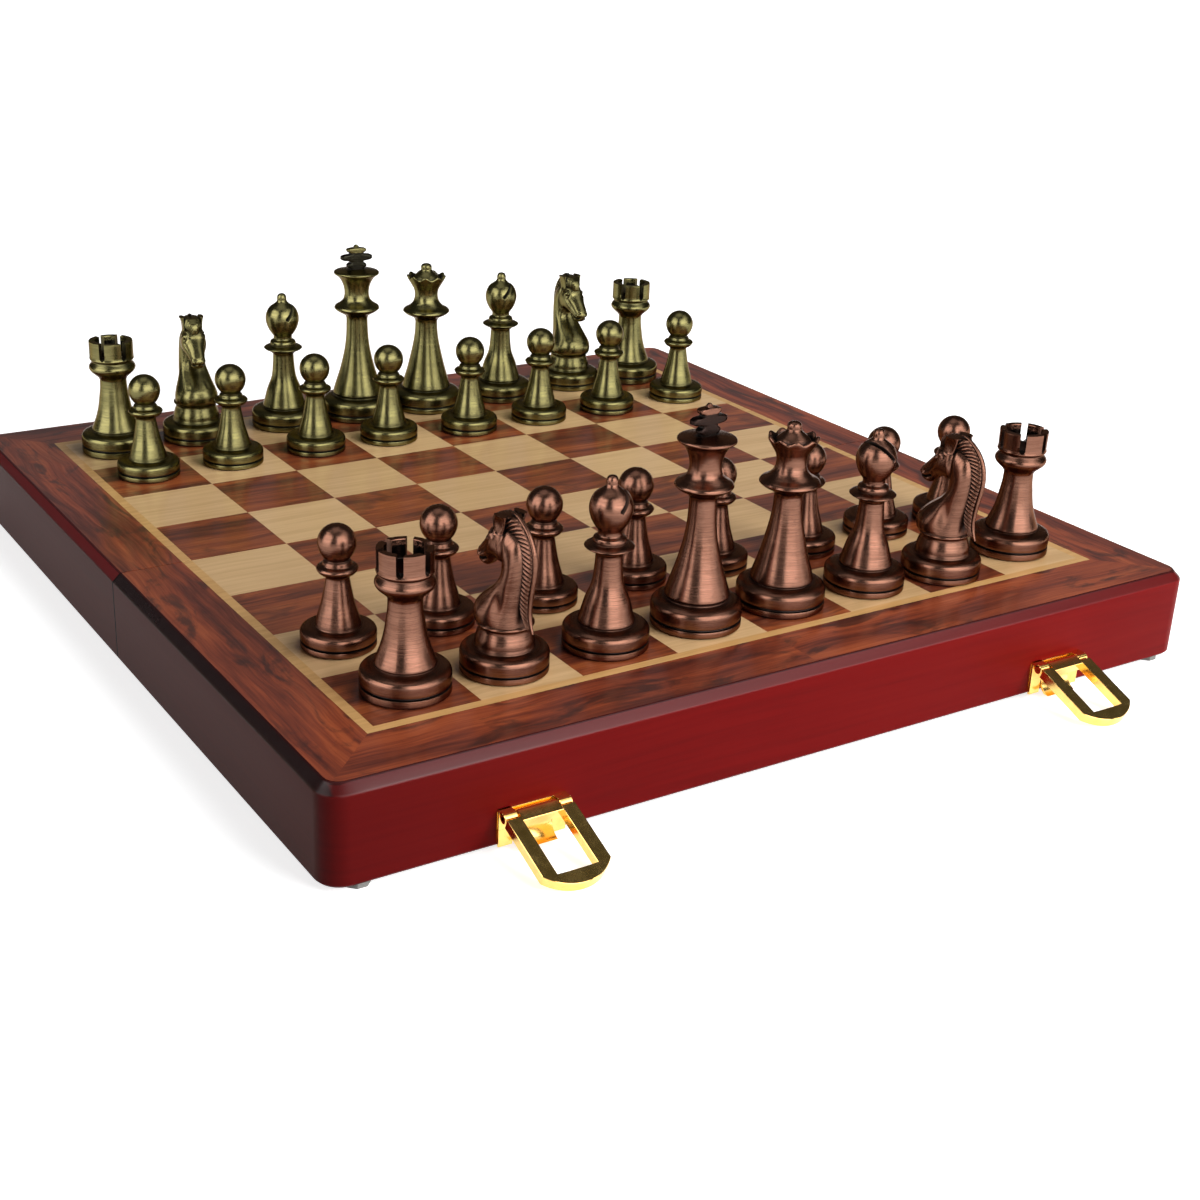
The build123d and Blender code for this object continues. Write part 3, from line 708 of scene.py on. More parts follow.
def latch_flap(hand, x):
    """A flat frame: its section runs round a path between the outline and the window. The
    window is a rectangle, and the outline has straight sides and a round far end."""
    window, thick, ease, count = 5.85, latch_barrel, 0.12, 26
    # Places along the flap, outwards from its pin
    start, straight_end, window_end, far, bar_end = -1.85, -20.4, -20.9, -25.3, -3.1
    bulge = straight_end - far
    radius = (bulge**2 + latch_half**2) / (2 * bulge)
    span = asin(latch_half / radius)
    sweep = np.linspace(-span, span, 2 * count)
    round_end = np.c_[-radius * np.sin(sweep), far + radius - radius * np.cos(sweep)]
    straight = np.c_[np.full(count, latch_half), np.linspace(start, straight_end, count)]
    outer = np.concatenate([straight, round_end[1:-1], (straight * (-1, 1))[::-1]])
    window_side = np.c_[np.full(count, window), np.linspace(start + 0.01, window_end, count)]
    across = np.linspace(window, -window, 2 * count)[1:-1]
    window_foot = np.c_[across, window_end + 0 * across]
    inner = np.concatenate([window_side, window_foot, (window_side * (-1, 1))[::-1]])
    width = np.linalg.norm(outer - inner, axis=1, keepdims=True)
    # Corners of the section: from the window (0) or the outline (1), an offset and a height
    lower = [(0, 0, -thick + ease), (0, ease, -thick), (1, -ease, -thick), (1, 0, -thick + ease)]
    section = lower + [(place, offset, -height) for place, offset, height in lower[::-1]]
    rows = [
        lifted(inner + (place + offset / width) * (outer - inner), height)
        for place, offset, height in section
    ]
    form = Form()
    form.add(np.stack(rows, axis=1), caps=True)
    bar = [(bar_end + ease, -thick), (bar_end, -thick + ease)]
    bar += [(y, -z) for y, z in bar[::-1]] + [(0, thick), (0, -thick)]
    form.add(swept(bar, (-window - 0.05, window + 0.05)), caps=True)
    form.add(rounded_bar((-window, window), 0, 0))
    slope = Matrix.Rotation(radians(flap_slope), 4, "X")
    mesh = moved(form.mesh(f"{hand}_flap", 30), x, *latch_axis, slope)
    piece(mesh, f"{hand}_flap", f"{hand}_latch", [f"{hand}_latch_flap"], [gold])


def latch_plate(hand, x):
    """Plate, two knuckles with the webs that carry them, and the tongue: a thin strip whose
    section is an arc from the plate down and outwards."""
    form = Form()
    thick, leg_start, knuckle_start, tongue_half = 0.8, 5.8, 6.2, 5.6
    tongue_drop, tongue_reach = 5.0, 3.6
    front, face = -case_half - thick, -case_half
    axis_y, axis_z = latch_axis[0] - fold_y, latch_axis[1]
    top, bend = axis_z + latch_barrel, case_bottom + tongue_drop
    form.add(plank((-latch_half, latch_half), (front, face), (bend, top)), caps=True)
    for side in (-1, 1):
        leg = sorted((side * leg_start, side * latch_half))
        knuckle = sorted((side * knuckle_start, side * latch_half))
        form.add(plank(leg, (front, face), (case_bottom, bend)), caps=True)
        form.add(plank(knuckle, (axis_y, face), (top - thick, top)), caps=True)
        form.add(rounded_bar(knuckle, axis_y, axis_z))
    radius = (tongue_drop**2 + tongue_reach**2) / (2 * tongue_reach)
    swing = np.linspace(0, asin(tongue_drop / radius), 14)
    outer, inner = (
        np.c_[front - radius + reach * np.cos(swing), bend - reach * np.sin(swing)]
        for reach in (radius, radius + thick)
    )
    inner[:, 1] = np.maximum(inner[:, 1], case_bottom)
    strip = np.concatenate([outer, inner[::-1]])
    form.add(swept(strip, np.linspace(-tongue_half, tongue_half, 5)), caps=True)
    mesh = moved(form.mesh(f"{hand}_plate", 30), x, fold_y, 0)
    made = piece(mesh, f"{hand}_plate", "front_half", [f"{hand}_latch_plate"], [gold])
    ease = made.modifiers.new("ease", "BEVEL")
    ease.width, ease.segments = 0.12 * MM, 2
    ease.limit_method, ease.angle_limit = "ANGLE", radians(50)


for hand, place in latch_places.items():
    latch_flap(hand, place)
    latch_plate(hand, place)


# Chessmen. Each line runs (radius, height) from the underside to the top.


def base(radius, disc_top, groove_top, side_top, *shoulder):
    """Underside, lower disc, groove, upper disc and the slope of the shoulder."""
    inner = radius - 1.0
    return [
        [(0, felt_top), (radius, felt_top)],
        [(radius, felt_top), (radius, disc_top)],
        [(radius, disc_top), (inner, disc_top)],
        [(inner, disc_top), (inner, groove_top)],
        [(inner, groove_top), (radius, groove_top)],
        [(radius, groove_top), (radius, side_top)],
        [(radius, side_top), *shoulder],
    ]


def add_felt(form, radius):
    """The felt disc under a base, a hair above the veneer."""
    low, reach = 0.03, radius - 0.7
    line = np.array([(0, low), (reach, low), (reach, felt_top), (0, felt_top)])
    return form.add(turned(line, 48), finish=1)


def standing(line, radius, wave=None, columns=72):
    """A turned piece with the felt disc that it stands on."""
    return add_felt(Form().add(turned(line, columns, wave)), radius)


def king():
    """The turned piece with its cross: rounded rectangles stacked to the cross's outline."""
    line = profile(
        *base(royal_base, 2.1, 2.9, 6.0, (12.8, 6.9), (11.8, 7.6), (10.1, 8.1)),
        [(10.1, 8.1), (9.1, 8.2)],
        [(9.1, 8.2), (9.1, 8.9)],
        [(9.1, 8.9), (9.5, 9.3)],
        [(9.5, 9.3), (8.4, 12.9), (6.9, 17.5), (5.7, 22), (4.75, 26.5), (4.2, 31.1)]
        + [(4.0, 35.6), (3.95, 37.9)],
        [(3.95, 37.9), (4.3, 38.8), (5.9, 40.0), (7.5, 40.9), (8.5, 41.8)],
        [(8.5, 41.8), (8.3, 42.4), (6.6, 43.6), (5.1, 45.1), (4.6, 46.9), (4.7, 49.2)]
        + [(5.4, 51.5), (6.5, 53.3), (7.8, 54.5)],
        [(7.8, 54.5), (8.4, 54.9), (8.45, 55.4), (8.1, 55.75)],
        [(8.1, 55.75), (6.0, 56.1), (3.0, 56.5), (0, 56.7)],
    )
    form = standing(line, royal_base)
    # The cross: its half width at each height, and its half thickness
    foot = [(56.0, 2.8), (56.9, 2.8), (57.2, 3.4), (57.6, 3.8), (58.2, 3.8), (58.6, 3.4)]
    foot += [(58.9, 2.75), (59.3, 2.7), (59.6, 2.75)]
    arms = [(59.9, 5.3), (60.3, 6.1), (61.4, 6.1), (61.8, 5.3), (62.05, 2.75), (62.4, 2.7)]
    lobe = [(62.7, 2.75), (63.0, 3.5), (63.5, 3.8), (63.9, 3.8), (64.2, 3.3), (64.35, 2.2)]
    tip = [(64.5, 0.95), (65.0, 0.9), (65.5, 0.4)]
    heights, widths = np.array(foot + arms + lobe + tip).T
    thick = np.interp(heights, [56, 64.3, 64.6, 65.5], [1.6, 1.6, 1.0, 0.4])
    angle = 2 * pi * (np.arange(48) + 0.5) / 48
    across = widths[:, None] * boxy(np.cos(angle), 0.4)
    deep = thick[:, None] * boxy(np.sin(angle), 0.55)
    cross = np.stack([across, deep, heights[:, None] + 0 * angle], axis=-1)
    waist = len(foot + arms)
    # The foot and arms of the cross take the third coat, painted shade, nearly black.
    form.add(cross[: waist + 1], caps=True, finish=2)
    form.add(cross[waist:], caps=True)
    return form


def queen():
    """The turned piece, with the rim of its crown cut into petals."""
    line = profile(
        *base(royal_base, 2.1, 2.9, 5.9, (12.8, 6.7), (11.8, 7.4), (10.0, 7.9)),
        [(10.0, 7.9), (9.1, 8.0)],
        [(9.1, 8.0), (9.4, 8.5)],
        [(9.4, 8.5), (9.0, 10), (7.6, 14.6), (6.0, 21), (5.2, 24.6), (4.6, 28)]
        + [(4.3, 31), (4.2, 34.0)],
        [(4.2, 34.0), (4.6, 35.0), (6.0, 36.1), (7.8, 37.0), (9.0, 38.0)],
        [(9.0, 38.0), (8.7, 38.6), (6.6, 39.9), (5.0, 41.7), (4.4, 44.0), (4.7, 46.4)]
        + [(5.8, 48.4), (7.1, 50.6), (7.55, 51.5)],
        [(7.55, 51.5), (7.5, 52.0), (7.1, 52.2), (6.6, 51.9), (5.9, 50.6), (5.4, 49.8)],
        [(5.4, 49.8), (5.2, 50.6), (4.5, 51.6), (3.5, 52.5), (2.5, 53.3), (2.0, 54.0)],
        [(2.0, 54.0), (2.1, 54.8), (1.9, 55.6), (1.2, 56.1), (0, 56.3)],
    )

    def scallops(radius, height, angle):
        """Nine petals: the rim sinks and draws in between them by (1 - cos 9a) / 2, more the
        nearer its top and its outside."""
        dip = (1 - np.cos(9 * angle)) / 2
        share = np.clip((height - 48.6) / 3.2, 0, 1) * np.clip((radius - 5.5) / 1.2, 0, 1)
        return -0.45 * share * dip, -1.05 * share * dip

    return standing(line, royal_base, scallops, 108)


def bishop():
    """The turned piece with the slot of its mitre sawn out."""
    line = profile(
        *base(officer_base, 2.1, 2.7, 5.4, (11.9, 6.1), (10.8, 6.8), (8.9, 7.2)),
        [(8.9, 7.2), (7.9, 7.3)],
        [(7.9, 7.3), (8.1, 7.9)],
        [(8.1, 7.9), (7.6, 9.4), (6.3, 14), (4.6, 18.5), (4.0, 23.1), (3.75, 27.4)],
        [(3.75, 27.4), (4.35, 27.9), (4.5, 28.4), (5.4, 28.7), (6.5, 29.2), (7.15, 29.7)],
        [(7.15, 29.7), (6.6, 30.1), (4.6, 30.7)],
        [(4.6, 30.7), (4.75, 31.5), (4.5, 32.3)],
        [(4.5, 32.3), (3.4, 33.0), (3.4, 34.3)],
        [(3.4, 34.3), (4.7, 36.1), (5.7, 38.3), (6.1, 40.6), (5.7, 42.9), (4.6, 44.8)]
        + [(3.0, 46.0), (2.1, 46.7), (1.7, 47.4)],
        [(1.7, 47.4), (1.7, 48.6), (1.2, 49.6), (0, 50.0)],
    )
    body = standing(line, officer_base).mesh("mitred")
    half_slot, reach, tilt, off_axis, height = 0.62, 4.6, -48, 1.48, 44.3
    saw = Form().add(plank((-8, 8), (-reach, reach), (-half_slot, half_slot)), caps=True)
    turn = Matrix.Rotation(radians(tilt), 4, "Y") @ Matrix.Rotation(radians(90), 4, "Z")
    blade = moved(saw.mesh("saw"), off_axis, 0, height, turn)
    holder, cutter = (bpy.data.objects.new(mesh.name, mesh) for mesh in (body, blade))
    for item in (holder, cutter):
        bpy.context.scene.collection.objects.link(item)
    cut = holder.modifiers.new("cut", "BOOLEAN")
    cut.object, cut.operation, cut.solver = cutter, "DIFFERENCE", "EXACT"
    graph = bpy.context.evaluated_depsgraph_get()
    made = bpy.data.meshes.new_from_object(holder.evaluated_get(graph))
    for item in (holder, cutter):
        bpy.data.objects.remove(item)
    return made


def rook():
    """The turned piece with six slots in its wall. Six equal sectors of columns each have seven
    columns across a slot, where points on the wall sink to the slot's round floor."""
    lower = profile(
        *base(officer_base, 2.3, 3.0, 5.8, (11.9, 6.6), (10.6, 7.3), (9.1, 7.6)),
        [(9.1, 7.6), (8.2, 7.8)],
        [(8.2, 7.8), (8.4, 8.4)],
        [(8.4, 8.4), (8.1, 9.2), (6.7, 12.8), (5.7, 16.6), (5.1, 20.4), (4.7, 23.4), (4.6, 26.3)],
        [(4.6, 26.3), (5.1, 27.2), (6.6, 28.6), (7.7, 29.8), (8.05, 30.7), (7.9, 31.4)]
        + [(7.3, 32.2), (6.85, 32.8)],
        [(6.85, 32.8), (6.9, 33.2)],
        [(6.9, 33.2), (7.5, 33.6), (7.7, 34.0)],
        [(7.7, 34.0), (7.45, 34.6)],
    )
    upper = profile(
        [(7.45, 34.6), (7.55, 40.3)],
        [(7.55, 40.3), (5.5, 40.3)],
        [(5.5, 40.3), (5.4, 34.9)],
        [(5.4, 34.9), (0, 34.7)],
        soften=0.12,
        longest=0.7,
    )
    line = np.concatenate([lower, upper[1:]])
    well = len(lower) + np.argmax(upper[1:, 0] < 5.48)
    sector, half_slot, slot_bottom, wall_inside, never = radians(60), 0.95, 34.2, 4.8, 99.0
    inside, between = np.linspace(-1, 1, 7), np.linspace(0, 1, 9)
    edge = np.arcsin(half_slot / np.maximum(line[:, :1], 4.7))
    solid = edge + 0.003 + (sector - 2 * edge - 0.006) * between
    columns = np.concatenate([edge * inside, solid], axis=1)
    angle = np.concatenate([columns + (i + 0.5) * sector for i in range(6)], axis=1)
    slot_floor = np.tile(np.r_[slot_bottom + 0.9 * inside**2, np.full(len(between), never)], 6)
    radius, height = line[:, :1], line[:, 1:2]
    height = np.where(radius > wall_inside, np.minimum(height, slot_floor), height)
    grid = np.stack([radius * np.cos(angle), radius * np.sin(angle), height], axis=-1)
    form = Form()
    form.add(grid[: well + 1])
    # The well inside the wall takes the third coat: painted shade, with the patina of the hollow.
    form.add(grid[well:], finish=2)
    return add_felt(form, officer_base)


def pawn():
    """A turned piece with a round head."""
    line = profile(
        *base(pawn_base, 1.8, 2.4, 4.6, (10.3, 5.2), (9.2, 5.8), (7.5, 6.0)),
        [(7.5, 6.0), (6.4, 6.1)],
        [(6.4, 6.1), (6.35, 6.7)],
        [(6.35, 6.7), (5.7, 9.2), (4.6, 13), (3.8, 17), (3.25, 20.3)],
        [(3.25, 20.3), (3.6, 21.0)],
        [(3.6, 21.0), (4.6, 21.4), (5.5, 22.3), (5.85, 22.9)],
        [(5.85, 22.9), (5.5, 23.4), (4.2, 24.0)],
        [(4.2, 24.0), (4.0, 24.5), (3.9, 25.0)],
        [(3.9, 25.0), (3.2, 25.5)],
        [(3.2, 25.5), (4.4, 27.0), (5.15, 28.8), (5.35, 30.3), (5.05, 32.0), (4.2, 33.5)]
        + [(2.9, 34.7), (1.5, 35.3), (0, 35.4)],
    )
    return standing(line, pawn_base, columns=64)


def bell(x, z, at, reach):
    """A round bump of height one in the side view, that fades over its reach."""
    return np.exp(-(((x - at[0]) / reach[0]) ** 2) - ((z - at[1]) / reach[1]) ** 2)


def crease(x, z, line, wide):
    """A groove or ridge of height one in the side view, that follows a line of points."""
    route = even(smooth(line, 0.3), 40)
    gap = np.hypot(x[..., None] - route[:, 0], z[..., None] - route[:, 1]).min(axis=-1)
    return np.exp(-((gap / wide) ** 2))


def loft(stations, rows, columns, bulge):
    """Rings between a back line and a front line in the side view. A ring at share s of the
    way round is (1 - cos s) / 2 of the way from back to front, and as wide as the bulge of s."""
    stations = np.array(stations, float)
    line = even(smooth(stations, 0.2), rows)
    turn = 2 * pi * np.arange(columns) / columns
    share = (1 - np.cos(turn)) / 2
    x = line[:, :1] + share * (line[:, 2:3] - line[:, :1])
    z = line[:, 1:2] + share * (line[:, 3:4] - line[:, 1:2])
    return x, line[:, 4:5] * boxy(np.sin(turn), bulge), z


def rod(path, radius, half):
    """A rod along a line in the side view, with an oval section that thins at both ends."""
    line = even(smooth(path, 0.2), 90)
    along = np.gradient(line, axis=0)
    along /= np.linalg.norm(along, axis=1, keepdims=True)
    thin = np.sin(pi * np.clip(np.linspace(0.02, 0.98, 90), 0, 1))[:, None] ** 0.35
    turn = 2 * pi * np.arange(20) / 20
    off = thin * radius * np.cos(turn)
    x = line[:, :1] - off * along[:, 1:2]
    z = line[:, 1:2] + off * along[:, :1]
    return np.stack([x, thin * half * np.sin(turn), z], axis=-1)


def knight():
    """A horse's head and neck. Rings run from the chest up the neck and out to the muzzle.
    Cheek, eye, brow, nostril, mouth and throat are bumps and creases on their sides."""
    line = profile(
        *base(officer_base, 2.0, 2.6, 5.4, (11.9, 6.2), (10.8, 6.8), (9.3, 7.0)),
        [(9.3, 7.0), (8.4, 7.1)],
        [(8.4, 7.1), (8.4, 7.7)],
        [(8.4, 7.7), (8.2, 8.0)],
        [(8.2, 8.0), (8.15, 9.2), (7.65, 11.0), (7.15, 12.5), (7.1, 13.1)],
        [(7.1, 13.1), (7.8, 13.5), (8.0, 14.0)],
        [(8.0, 14.0), (7.5, 14.5), (0, 14.7)],
    )
    form = standing(line, officer_base)
    stations = [
        (-7.3, 13.3, 7.4, 13.3, 6.9),
        (-7.3, 14.3, 8.4, 14.3, 7.3),
        (-7.2, 16.3, 9.0, 16.4, 7.3),
        (-7.2, 19.2, 8.5, 18.6, 6.9),
        (-7.6, 22.0, 6.9, 20.8, 6.2),
        (-8.1, 25.0, 4.7, 22.8, 5.5),
        (-8.6, 28.0, 1.9, 25.0, 4.9),
        (-8.9, 31.5, -0.1, 27.3, 4.5),
        (-8.7, 35.0, -0.8, 29.3, 4.3),
        (-7.4, 38.6, -0.3, 30.5, 4.2),
        (-4.3, 40.8, 0.4, 31.0, 4.2),
        (-1.5, 42.0, 1.2, 31.2, 4.1),
        (1.8, 41.6, 2.4, 31.1, 3.9),
        (4.2, 40.0, 3.9, 30.3, 3.5),
        (5.6, 37.9, 5.0, 29.5, 3.0),
        (7.2, 36.1, 6.0, 28.5, 2.6),
        (8.9, 34.1, 7.2, 27.9, 2.45),
        (10.1, 32.7, 8.6, 28.1, 2.3),
        (10.8, 31.5, 9.9, 28.9, 1.7),
        (10.95, 30.8, 10.6, 29.8, 0.7),
    ]
    x, y, z = loft(stations, 150, 96, 0.8)
    throat = [(0.6, 30.0), (0.3, 28.6), (1.2, 26.8), (3.3, 24.7), (6.0, 22.6), (7.8, 20.4)]
    # Cheek, eye, flare and hole of the nostril, chin, hollow of the neck, chest
    bumps = [
        (0.55, (1.7, 34.6), (3.0, 3.4)),
        (0.55, (2.7, 38.7), (1.05, 0.8)),
        (0.5, (9.9, 31.7), (1.0, 0.9)),
        (-1.1, (10.1, 31.8), (0.42, 0.38)),
        (0.35, (7.2, 28.8), (0.9, 0.6)),
        (-0.55, (-3.4, 21.0), (1.7, 4.5)),
        (0.5, (3.6, 17.0), (3.4, 3.0)),
    ]
    # Brow, eyelid, edge of the jaw, side and bone of the nose, mouth, two lines of the throat
    lines = [
        (0.45, [(0.6, 39.2), (1.9, 40.3), (3.6, 40.0), (4.6, 38.6)], 0.5),
        (-0.55, [(1.0, 38.4), (2.0, 39.6), (3.3, 39.5), (4.0, 38.2), (3.3, 37.5)], 0.35),
        (-0.7, [(-1.9, 41.0), (-1.9, 38.0), (-2.2, 35.0), (-1.7, 32.4), (-0.6, 30.8)], 0.75),
        (-0.55, [(3.6, 36.4), (5.3, 34.4), (7.2, 32.4), (8.8, 31.3)], 0.5),
        (0.4, [(4.9, 37.0), (6.6, 35.0), (8.5, 33.0)], 0.7),
        (-0.8, [(6.0, 30.6), (7.6, 30.0), (9.3, 29.7), (10.5, 30.1)], 0.3),
        (-0.6, throat, 0.45),
        (-0.5, [(px - 1.3, pz - 0.3) for px, pz in throat], 0.4),
    ]
    # The relief moves the flanks outwards, but not the lines where they meet
    relief = sum(height * bell(x, z, at, reach) for height, at, reach in bumps)
    relief += sum(height * crease(x, z, path, wide) for height, path, wide in lines)
    deep = np.clip(np.abs(y) / 1.2, 0, 1)
    y = y + np.sign(y) * relief * deep
    form.add(np.stack([x, y, z], axis=-1), caps=True)
    mane = [
        (-9.6, 14.8, -10.9, 15.4, 0.7),
        (-8.6, 16.5, -10.2, 17.1, 1.1),
        (-7.2, 19.4, -10.0, 20.2, 1.5),
        (-7.0, 22.5, -10.2, 23.7, 1.75),
        (-7.2, 25.5, -10.8, 26.9, 1.9),
        (-7.5, 28.5, -11.4, 30.0, 1.95),
        (-7.7, 31.5, -11.7, 33.0, 1.95),
        (-7.4, 34.6, -11.4, 36.0, 1.95),
        (-6.5, 37.2, -10.3, 39.2, 1.95),
        (-5.0, 38.9, -8.2, 41.7, 1.9),
        (-3.2, 40.0, -5.5, 44.2, 2.3),
        (-1.4, 40.4, -2.6, 45.4, 2.9),
        (0.2, 40.4, 0.3, 45.3, 3.0),
        (1.6, 40.2, 2.6, 44.3, 2.6),
        (2.4, 39.7, 4.4, 43.0, 2.0),
        (3.0, 39.1, 4.9, 41.7, 1.5),
        (3.6, 38.4, 4.9, 40.1, 1.2),
    ]
    x, y, z = loft(mane, 300, 40, 0.45)
    share = (1 - np.cos(2 * pi * np.arange(40) / 40)) / 2
    # Locks slant across the mane, which thins towards its edge, but not on the flat poll
    mane_length, lock_width, slant, poll_height = 56.0, 1.75, 4.4, 44.6
    length = np.linspace(0, mane_length, 300)[:, None]
    lock = np.abs(np.cos(pi * (length + slant * share) / lock_width)) ** 0.6
    poll = np.clip((x + 7.0) / 3.0, 0, 1)
    y = y * (1 - (0.42 - 0.34 * poll) * share) * (0.66 + 0.42 * lock)
    z = np.minimum(z, poll_height + 0.15 * (z - poll_height))
    form.add(np.stack([x, y, z], axis=-1), caps=True)
    crest = [(-11.75, 14.1), (-10.8, 16.6), (-10.35, 19.2), (-10.5, 22.2), (-11.1, 26.2)]
    crest += [(-11.75, 30.0), (-12.0, 33.8), (-11.3, 37.6), (-9.4, 41.0), (-6.7, 43.5)]
    crest += [(-4.2, 44.9), (-2.0, 45.3)]
    form.add(rod(crest, 0.55, 0.8))
    # Each ear is an oval tube that widens as it rises, with a scoop in its outer side
    for side in (-1, 1):
        t = np.linspace(0, 1, 24)[:, None]
        turn = 2 * pi * np.arange(32) / 32
        wide = 1.7 + 0.7 * t
        thick = 0.95 + 0.05 * t
        outward = np.clip(np.sin(turn) * side, 0, 1)
        scoop = 0.7 * outward**2 * np.sin(pi * np.clip(t * 1.05, 0, 1)) ** 0.7
        ex = -0.3 - 0.9 * t + wide * np.cos(turn)
        ez = 39.6 + 5.3 * t + 0 * turn
        ey = side * (2.95 + 0.4 * t) + thick * np.sin(turn) - side * scoop
        form.add(np.stack([ex, ey, ez], axis=-1), caps=True)
    return form


makers = {"king": king, "queen": queen, "bishop": bishop, "knight": knight, "rook": rook, "pawn": pawn}
shapes = {}
for kind, maker in makers.items():
    made = maker()
    shapes[kind] = made if isinstance(made, bpy.types.Mesh) else made.mesh(kind)

# Where each chessman stands off the middle of its square, and how it is turned
offsets = {
    "copper_rook_left": (1.1, -0.8),
    "copper_knight_left": (-0.5, -1.2),
    "copper_bishop_left": (0.9, -1.0),
    "copper_king": (1.3, 0.0),
    "copper_queen": (0.7, -0.2),
    "copper_bishop_right": (1.2, -1.1),
    "copper_knight_right": (-1.6, -4.2),
    "copper_rook_right": (1.7, 0.8),
    "copper_pawn_1": (-2.2, 1.8),
    "copper_pawn_2": (-2.1, 2.4),
    "copper_pawn_3": (1.1, 2.3),
    "copper_pawn_4": (3.1, 4.4),
    "copper_pawn_5": (0.4, 1.4),
    "copper_pawn_6": (3.7, 0.7),
    "copper_pawn_7": (4.9, 2.5),
    "copper_pawn_8": (3.2, 1.4),
    "bronze_rook_left": (-0.6, 2.4),
    "bronze_knight_left": (-1.3, 3.7),
    "bronze_bishop_left": (2.7, 4.7),
    "bronze_king": (1.4, 3.8),
    "bronze_queen": (-1.0, 2.6),
    "bronze_bishop_right": (0.6, 2.0),
    "bronze_knight_right": (3.4, 4.6),
    "bronze_rook_right": (0.1, 2.1),
    "bronze_pawn_1": (0.2, 3.3),
    "bronze_pawn_2": (-0.2, 3.1),
    "bronze_pawn_3": (0.5, 3.2),
    "bronze_pawn_4": (-1.5, 2.9),
    "bronze_pawn_5": (-0.3, 0.2),
    "bronze_pawn_6": (-0.7, 0.3),
    "bronze_pawn_7": (-1.0, -0.4),
    "bronze_pawn_8": (2.0, 1.0),
}
turns = {
    "copper_rook_left": 22,
    "copper_rook_right": 14,
    "bronze_rook_left": 16,
    "copper_bishop_left": 10,
    "copper_bishop_right": 187,
    "bronze_bishop_left": 8,
    "bronze_bishop_right": -5,
    "copper_king": 3,
    "bronze_king": -6,
    "copper_knight_left": 8,
    "copper_knight_right": 8,
    "bronze_knight_left": 170,
    "bronze_knight_right": 178,
}
back_rank = ("rook", "knight", "bishop", "king", "queen", "bishop", "knight", "rook")


def chessman(kind, name, file, rank, turn, coats):
    """A copy of a shape, turned and moved to its square, with its place in the mesh."""
    dx, dy = offsets[name]
    mesh = shapes[kind].copy()
    mesh.name = f"{name}_shape"
    spin = Matrix.Rotation(radians(turns.get(name, turn)), 4, "Z")
    if kind == "knight":
        spin = spin @ Matrix.Rotation(radians(90), 4, "Z")
    x, y = (file - 3.5) * square + dx, (rank - 3.5) * square + dy + fold_y
    piece(moved(mesh, x, y, board_top, spin), f"{name}_shape", name, [name], coats)


# Each army: its coats for metal, felt and the painted shade of wells and crosses, the ranks of
# its officers and pawns, and the way that it faces
armies = {
    "copper": ([copper, felt, painted_shade_copper], 0, 1, 0),
    "bronze": ([bronze, felt, painted_shade_bronze], 7, 6, 180),
}
for army, (coats, officers, pawns, facing) in armies.items():
    for file, kind in enumerate(back_rank):
        hand = "" if kind in ("king", "queen") else "_left" if file < 4 else "_right"
        turn = facing if kind == "knight" else 0
        chessman(kind, f"{army}_{kind}{hand}", file, officers, turn, coats)
        chessman("pawn", f"{army}_pawn_{file + 1}", file, pawns, 0, coats)
for mesh in shapes.values():
    bpy.data.meshes.remove(mesh)


# Floor, light and camera


def floor():
    """A pale floor. What looks at it sees it white, the more so further from the object, and
    what it lights gets little from it."""
    mesh = bpy.data.meshes.new("floor")
    reach = 6.0
    corners = [(-reach, -reach, 0), (reach, -reach, 0), (reach, reach, 0), (-reach, reach, 0)]
    mesh.from_pydata(corners, [], [(0, 1, 2, 3)])
    made = bpy.data.objects.new("floor", mesh)
    bpy.context.scene.collection.objects.link(made)
    paint, sheet = material("floor_paint")
    seen = sheet.rays("Camera", "Glossy", "Transmission")
    spot = sheet.node("TexCoord", out="Object")
    away = sheet.node("VectorMath", {"operation": "LENGTH"}, {0: spot}, "Value")
    white = sheet.fit(away, 0.25, 0.6, 0.8, 1.0) * seen
    sheet.surface(
        base_color=sheet.mix(seen, (0.14, 0.14, 0.14), (0.8, 0.8, 0.8)),
        roughness=0.9,
        specular_ior_level=0.1,
        emission_color=sheet.vector(white, white, white),
        emission_strength=1.0,
    )
    mesh.materials.append(paint)


def lamp(name, place, aim, wide, tall, power, glossy=True, diffuse=True):
    """A soft box, in metres and watts. Glossy shows it in reflections, diffuse gives light."""
    light = bpy.data.lights.new(name, "AREA")
    light.shape, light.size, light.size_y, light.energy = "RECTANGLE", wide, tall, power
    made = bpy.data.objects.new(name, light)
    bpy.context.scene.collection.objects.link(made)
    made.location = place
    made.rotation_mode = "QUATERNION"
    made.rotation_quaternion = (Vector(aim) - Vector(place)).to_track_quat("-Z", "Y")
    made.visible_glossy, made.visible_diffuse = glossy, diffuse


floor()
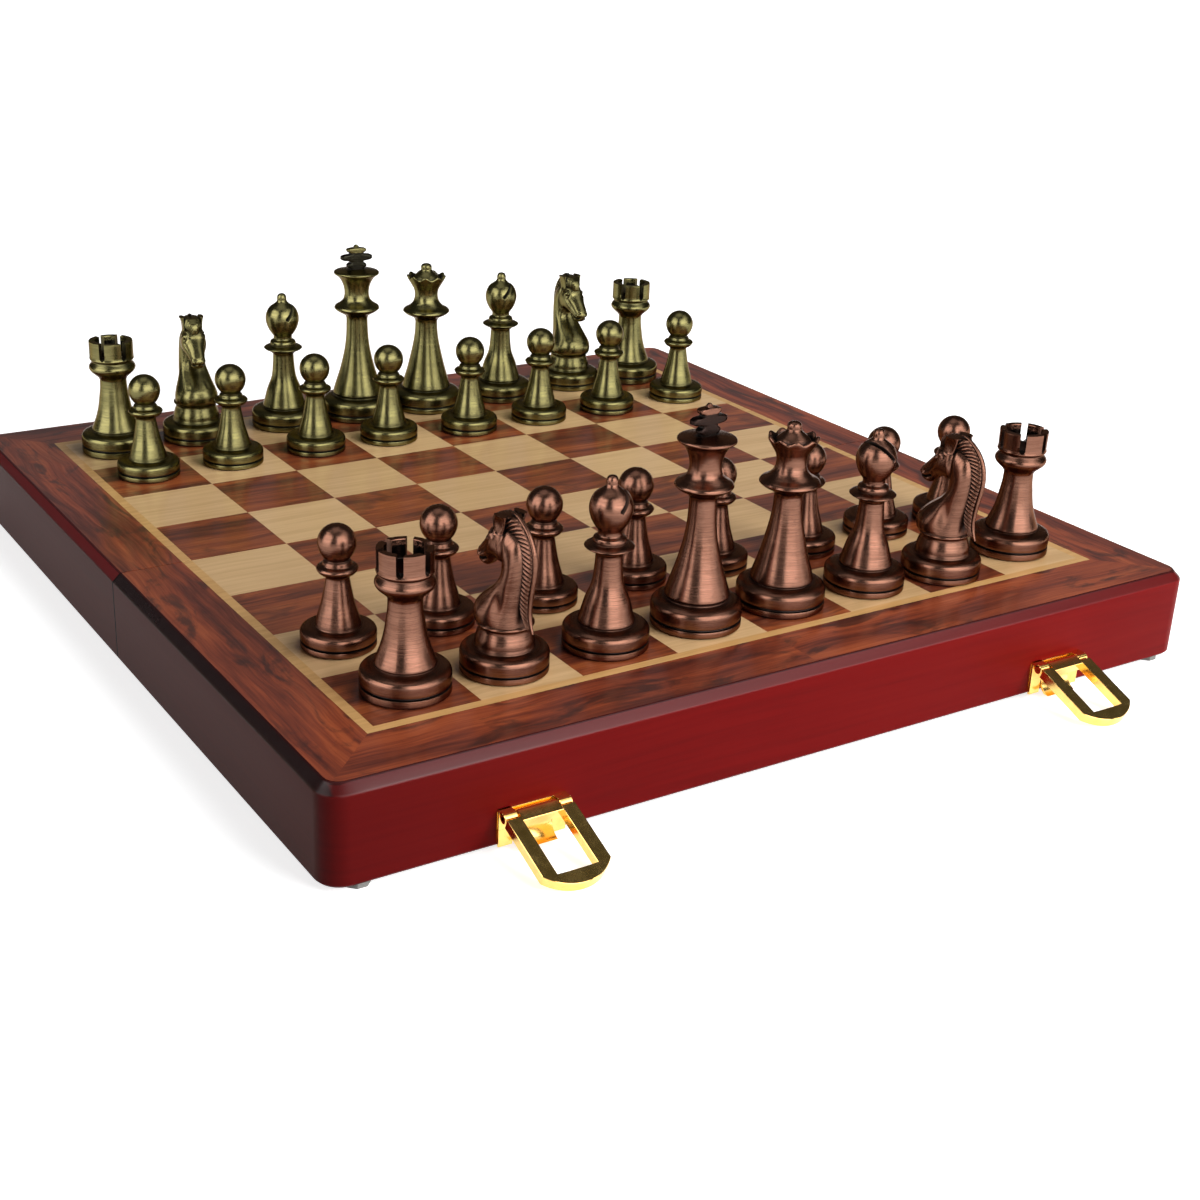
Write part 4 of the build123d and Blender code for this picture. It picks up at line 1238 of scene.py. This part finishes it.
# Soft boxes that only show in reflections, then two fills that don't show in them
lamp("right_box", (0.06, -1.35, 0.75), (0, 0, 0.3), 1.5, 1.4, 26, diffuse=False)
lamp("left_box", (-1.35, -0.02, 0.75), (0, 0, 0.3), 1.4, 1.4, 21, diffuse=False)
lamp("edge_box", (0.85, -0.65, 1.4), (0, 0, 0), 0.9, 0.9, 3, diffuse=False)
lamp("ceiling", (-0.05, 0.35, 2.2), (-0.05, 0.35, 0), 1.5, 1.5, 5, diffuse=False)
lamp("thin_box", (1.0, -1.15, 0.45), (0, 0, 0.05), 0.35, 0.9, 3, diffuse=False)
lamp("back_card", (0.8, 1.25, 0.45), (0, 0, 0.05), 2.2, 0.9, 0.7, diffuse=False)
lamp("front_fill", (0.6, -1.25, 0.9), (0, 0, 0.05), 1.0, 1.0, 22, glossy=False)
lamp("top_fill", (0.6, -0.3, 1.5), (0, 0, 0), 1.0, 1.0, 13, glossy=False)

world = bpy.data.worlds.new("studio")
bpy.context.scene.world = world
world.use_nodes = True
sheet = Sheet(world.node_tree)
# White where the camera looks, and nearly dark in reflections
glow = {"Color": (1, 1, 1), "Strength": sheet.rays("Camera", "Transmission") * 0.94 + 0.06}
sheet.node("OutputWorld", None, {"Surface": sheet.node("Background", None, glow)})

camera_data = bpy.data.cameras.new("camera")
camera = bpy.data.objects.new("camera", camera_data)
bpy.context.scene.collection.objects.link(camera)
# Where the photo was taken from: its turn, tilt and roll, the eye in mm, and in the photo's
# pixels its width, the focal length and the column that the camera faces
turn, tilt, roll = radians(-32.535), radians(23.145), radians(2.068)
eye = (-299.7, -473.1, 235.2)
photo_width, focal_length, faced_column = 1200, 1774.3, 560
back = Vector((sin(turn) * cos(tilt), -cos(turn) * cos(tilt), sin(tilt)))
right = (-back).cross(Vector((0, 0, 1))).normalized()
up = right.cross(-back)
right, up = cos(roll) * right + sin(roll) * up, cos(roll) * up - sin(roll) * right
facing = Matrix((right, up, back)).transposed().to_4x4()
camera.matrix_world = Matrix.Translation(Vector(eye) * MM) @ facing
camera_data.sensor_width = 36.0
camera_data.lens = focal_length / photo_width * camera_data.sensor_width
camera_data.shift_x = (photo_width / 2 - faced_column) / photo_width
camera_data.clip_start, camera_data.clip_end = 0.01, 20.0
bpy.context.scene.camera = camera
bpy.context.scene.view_settings.view_transform = "Standard"
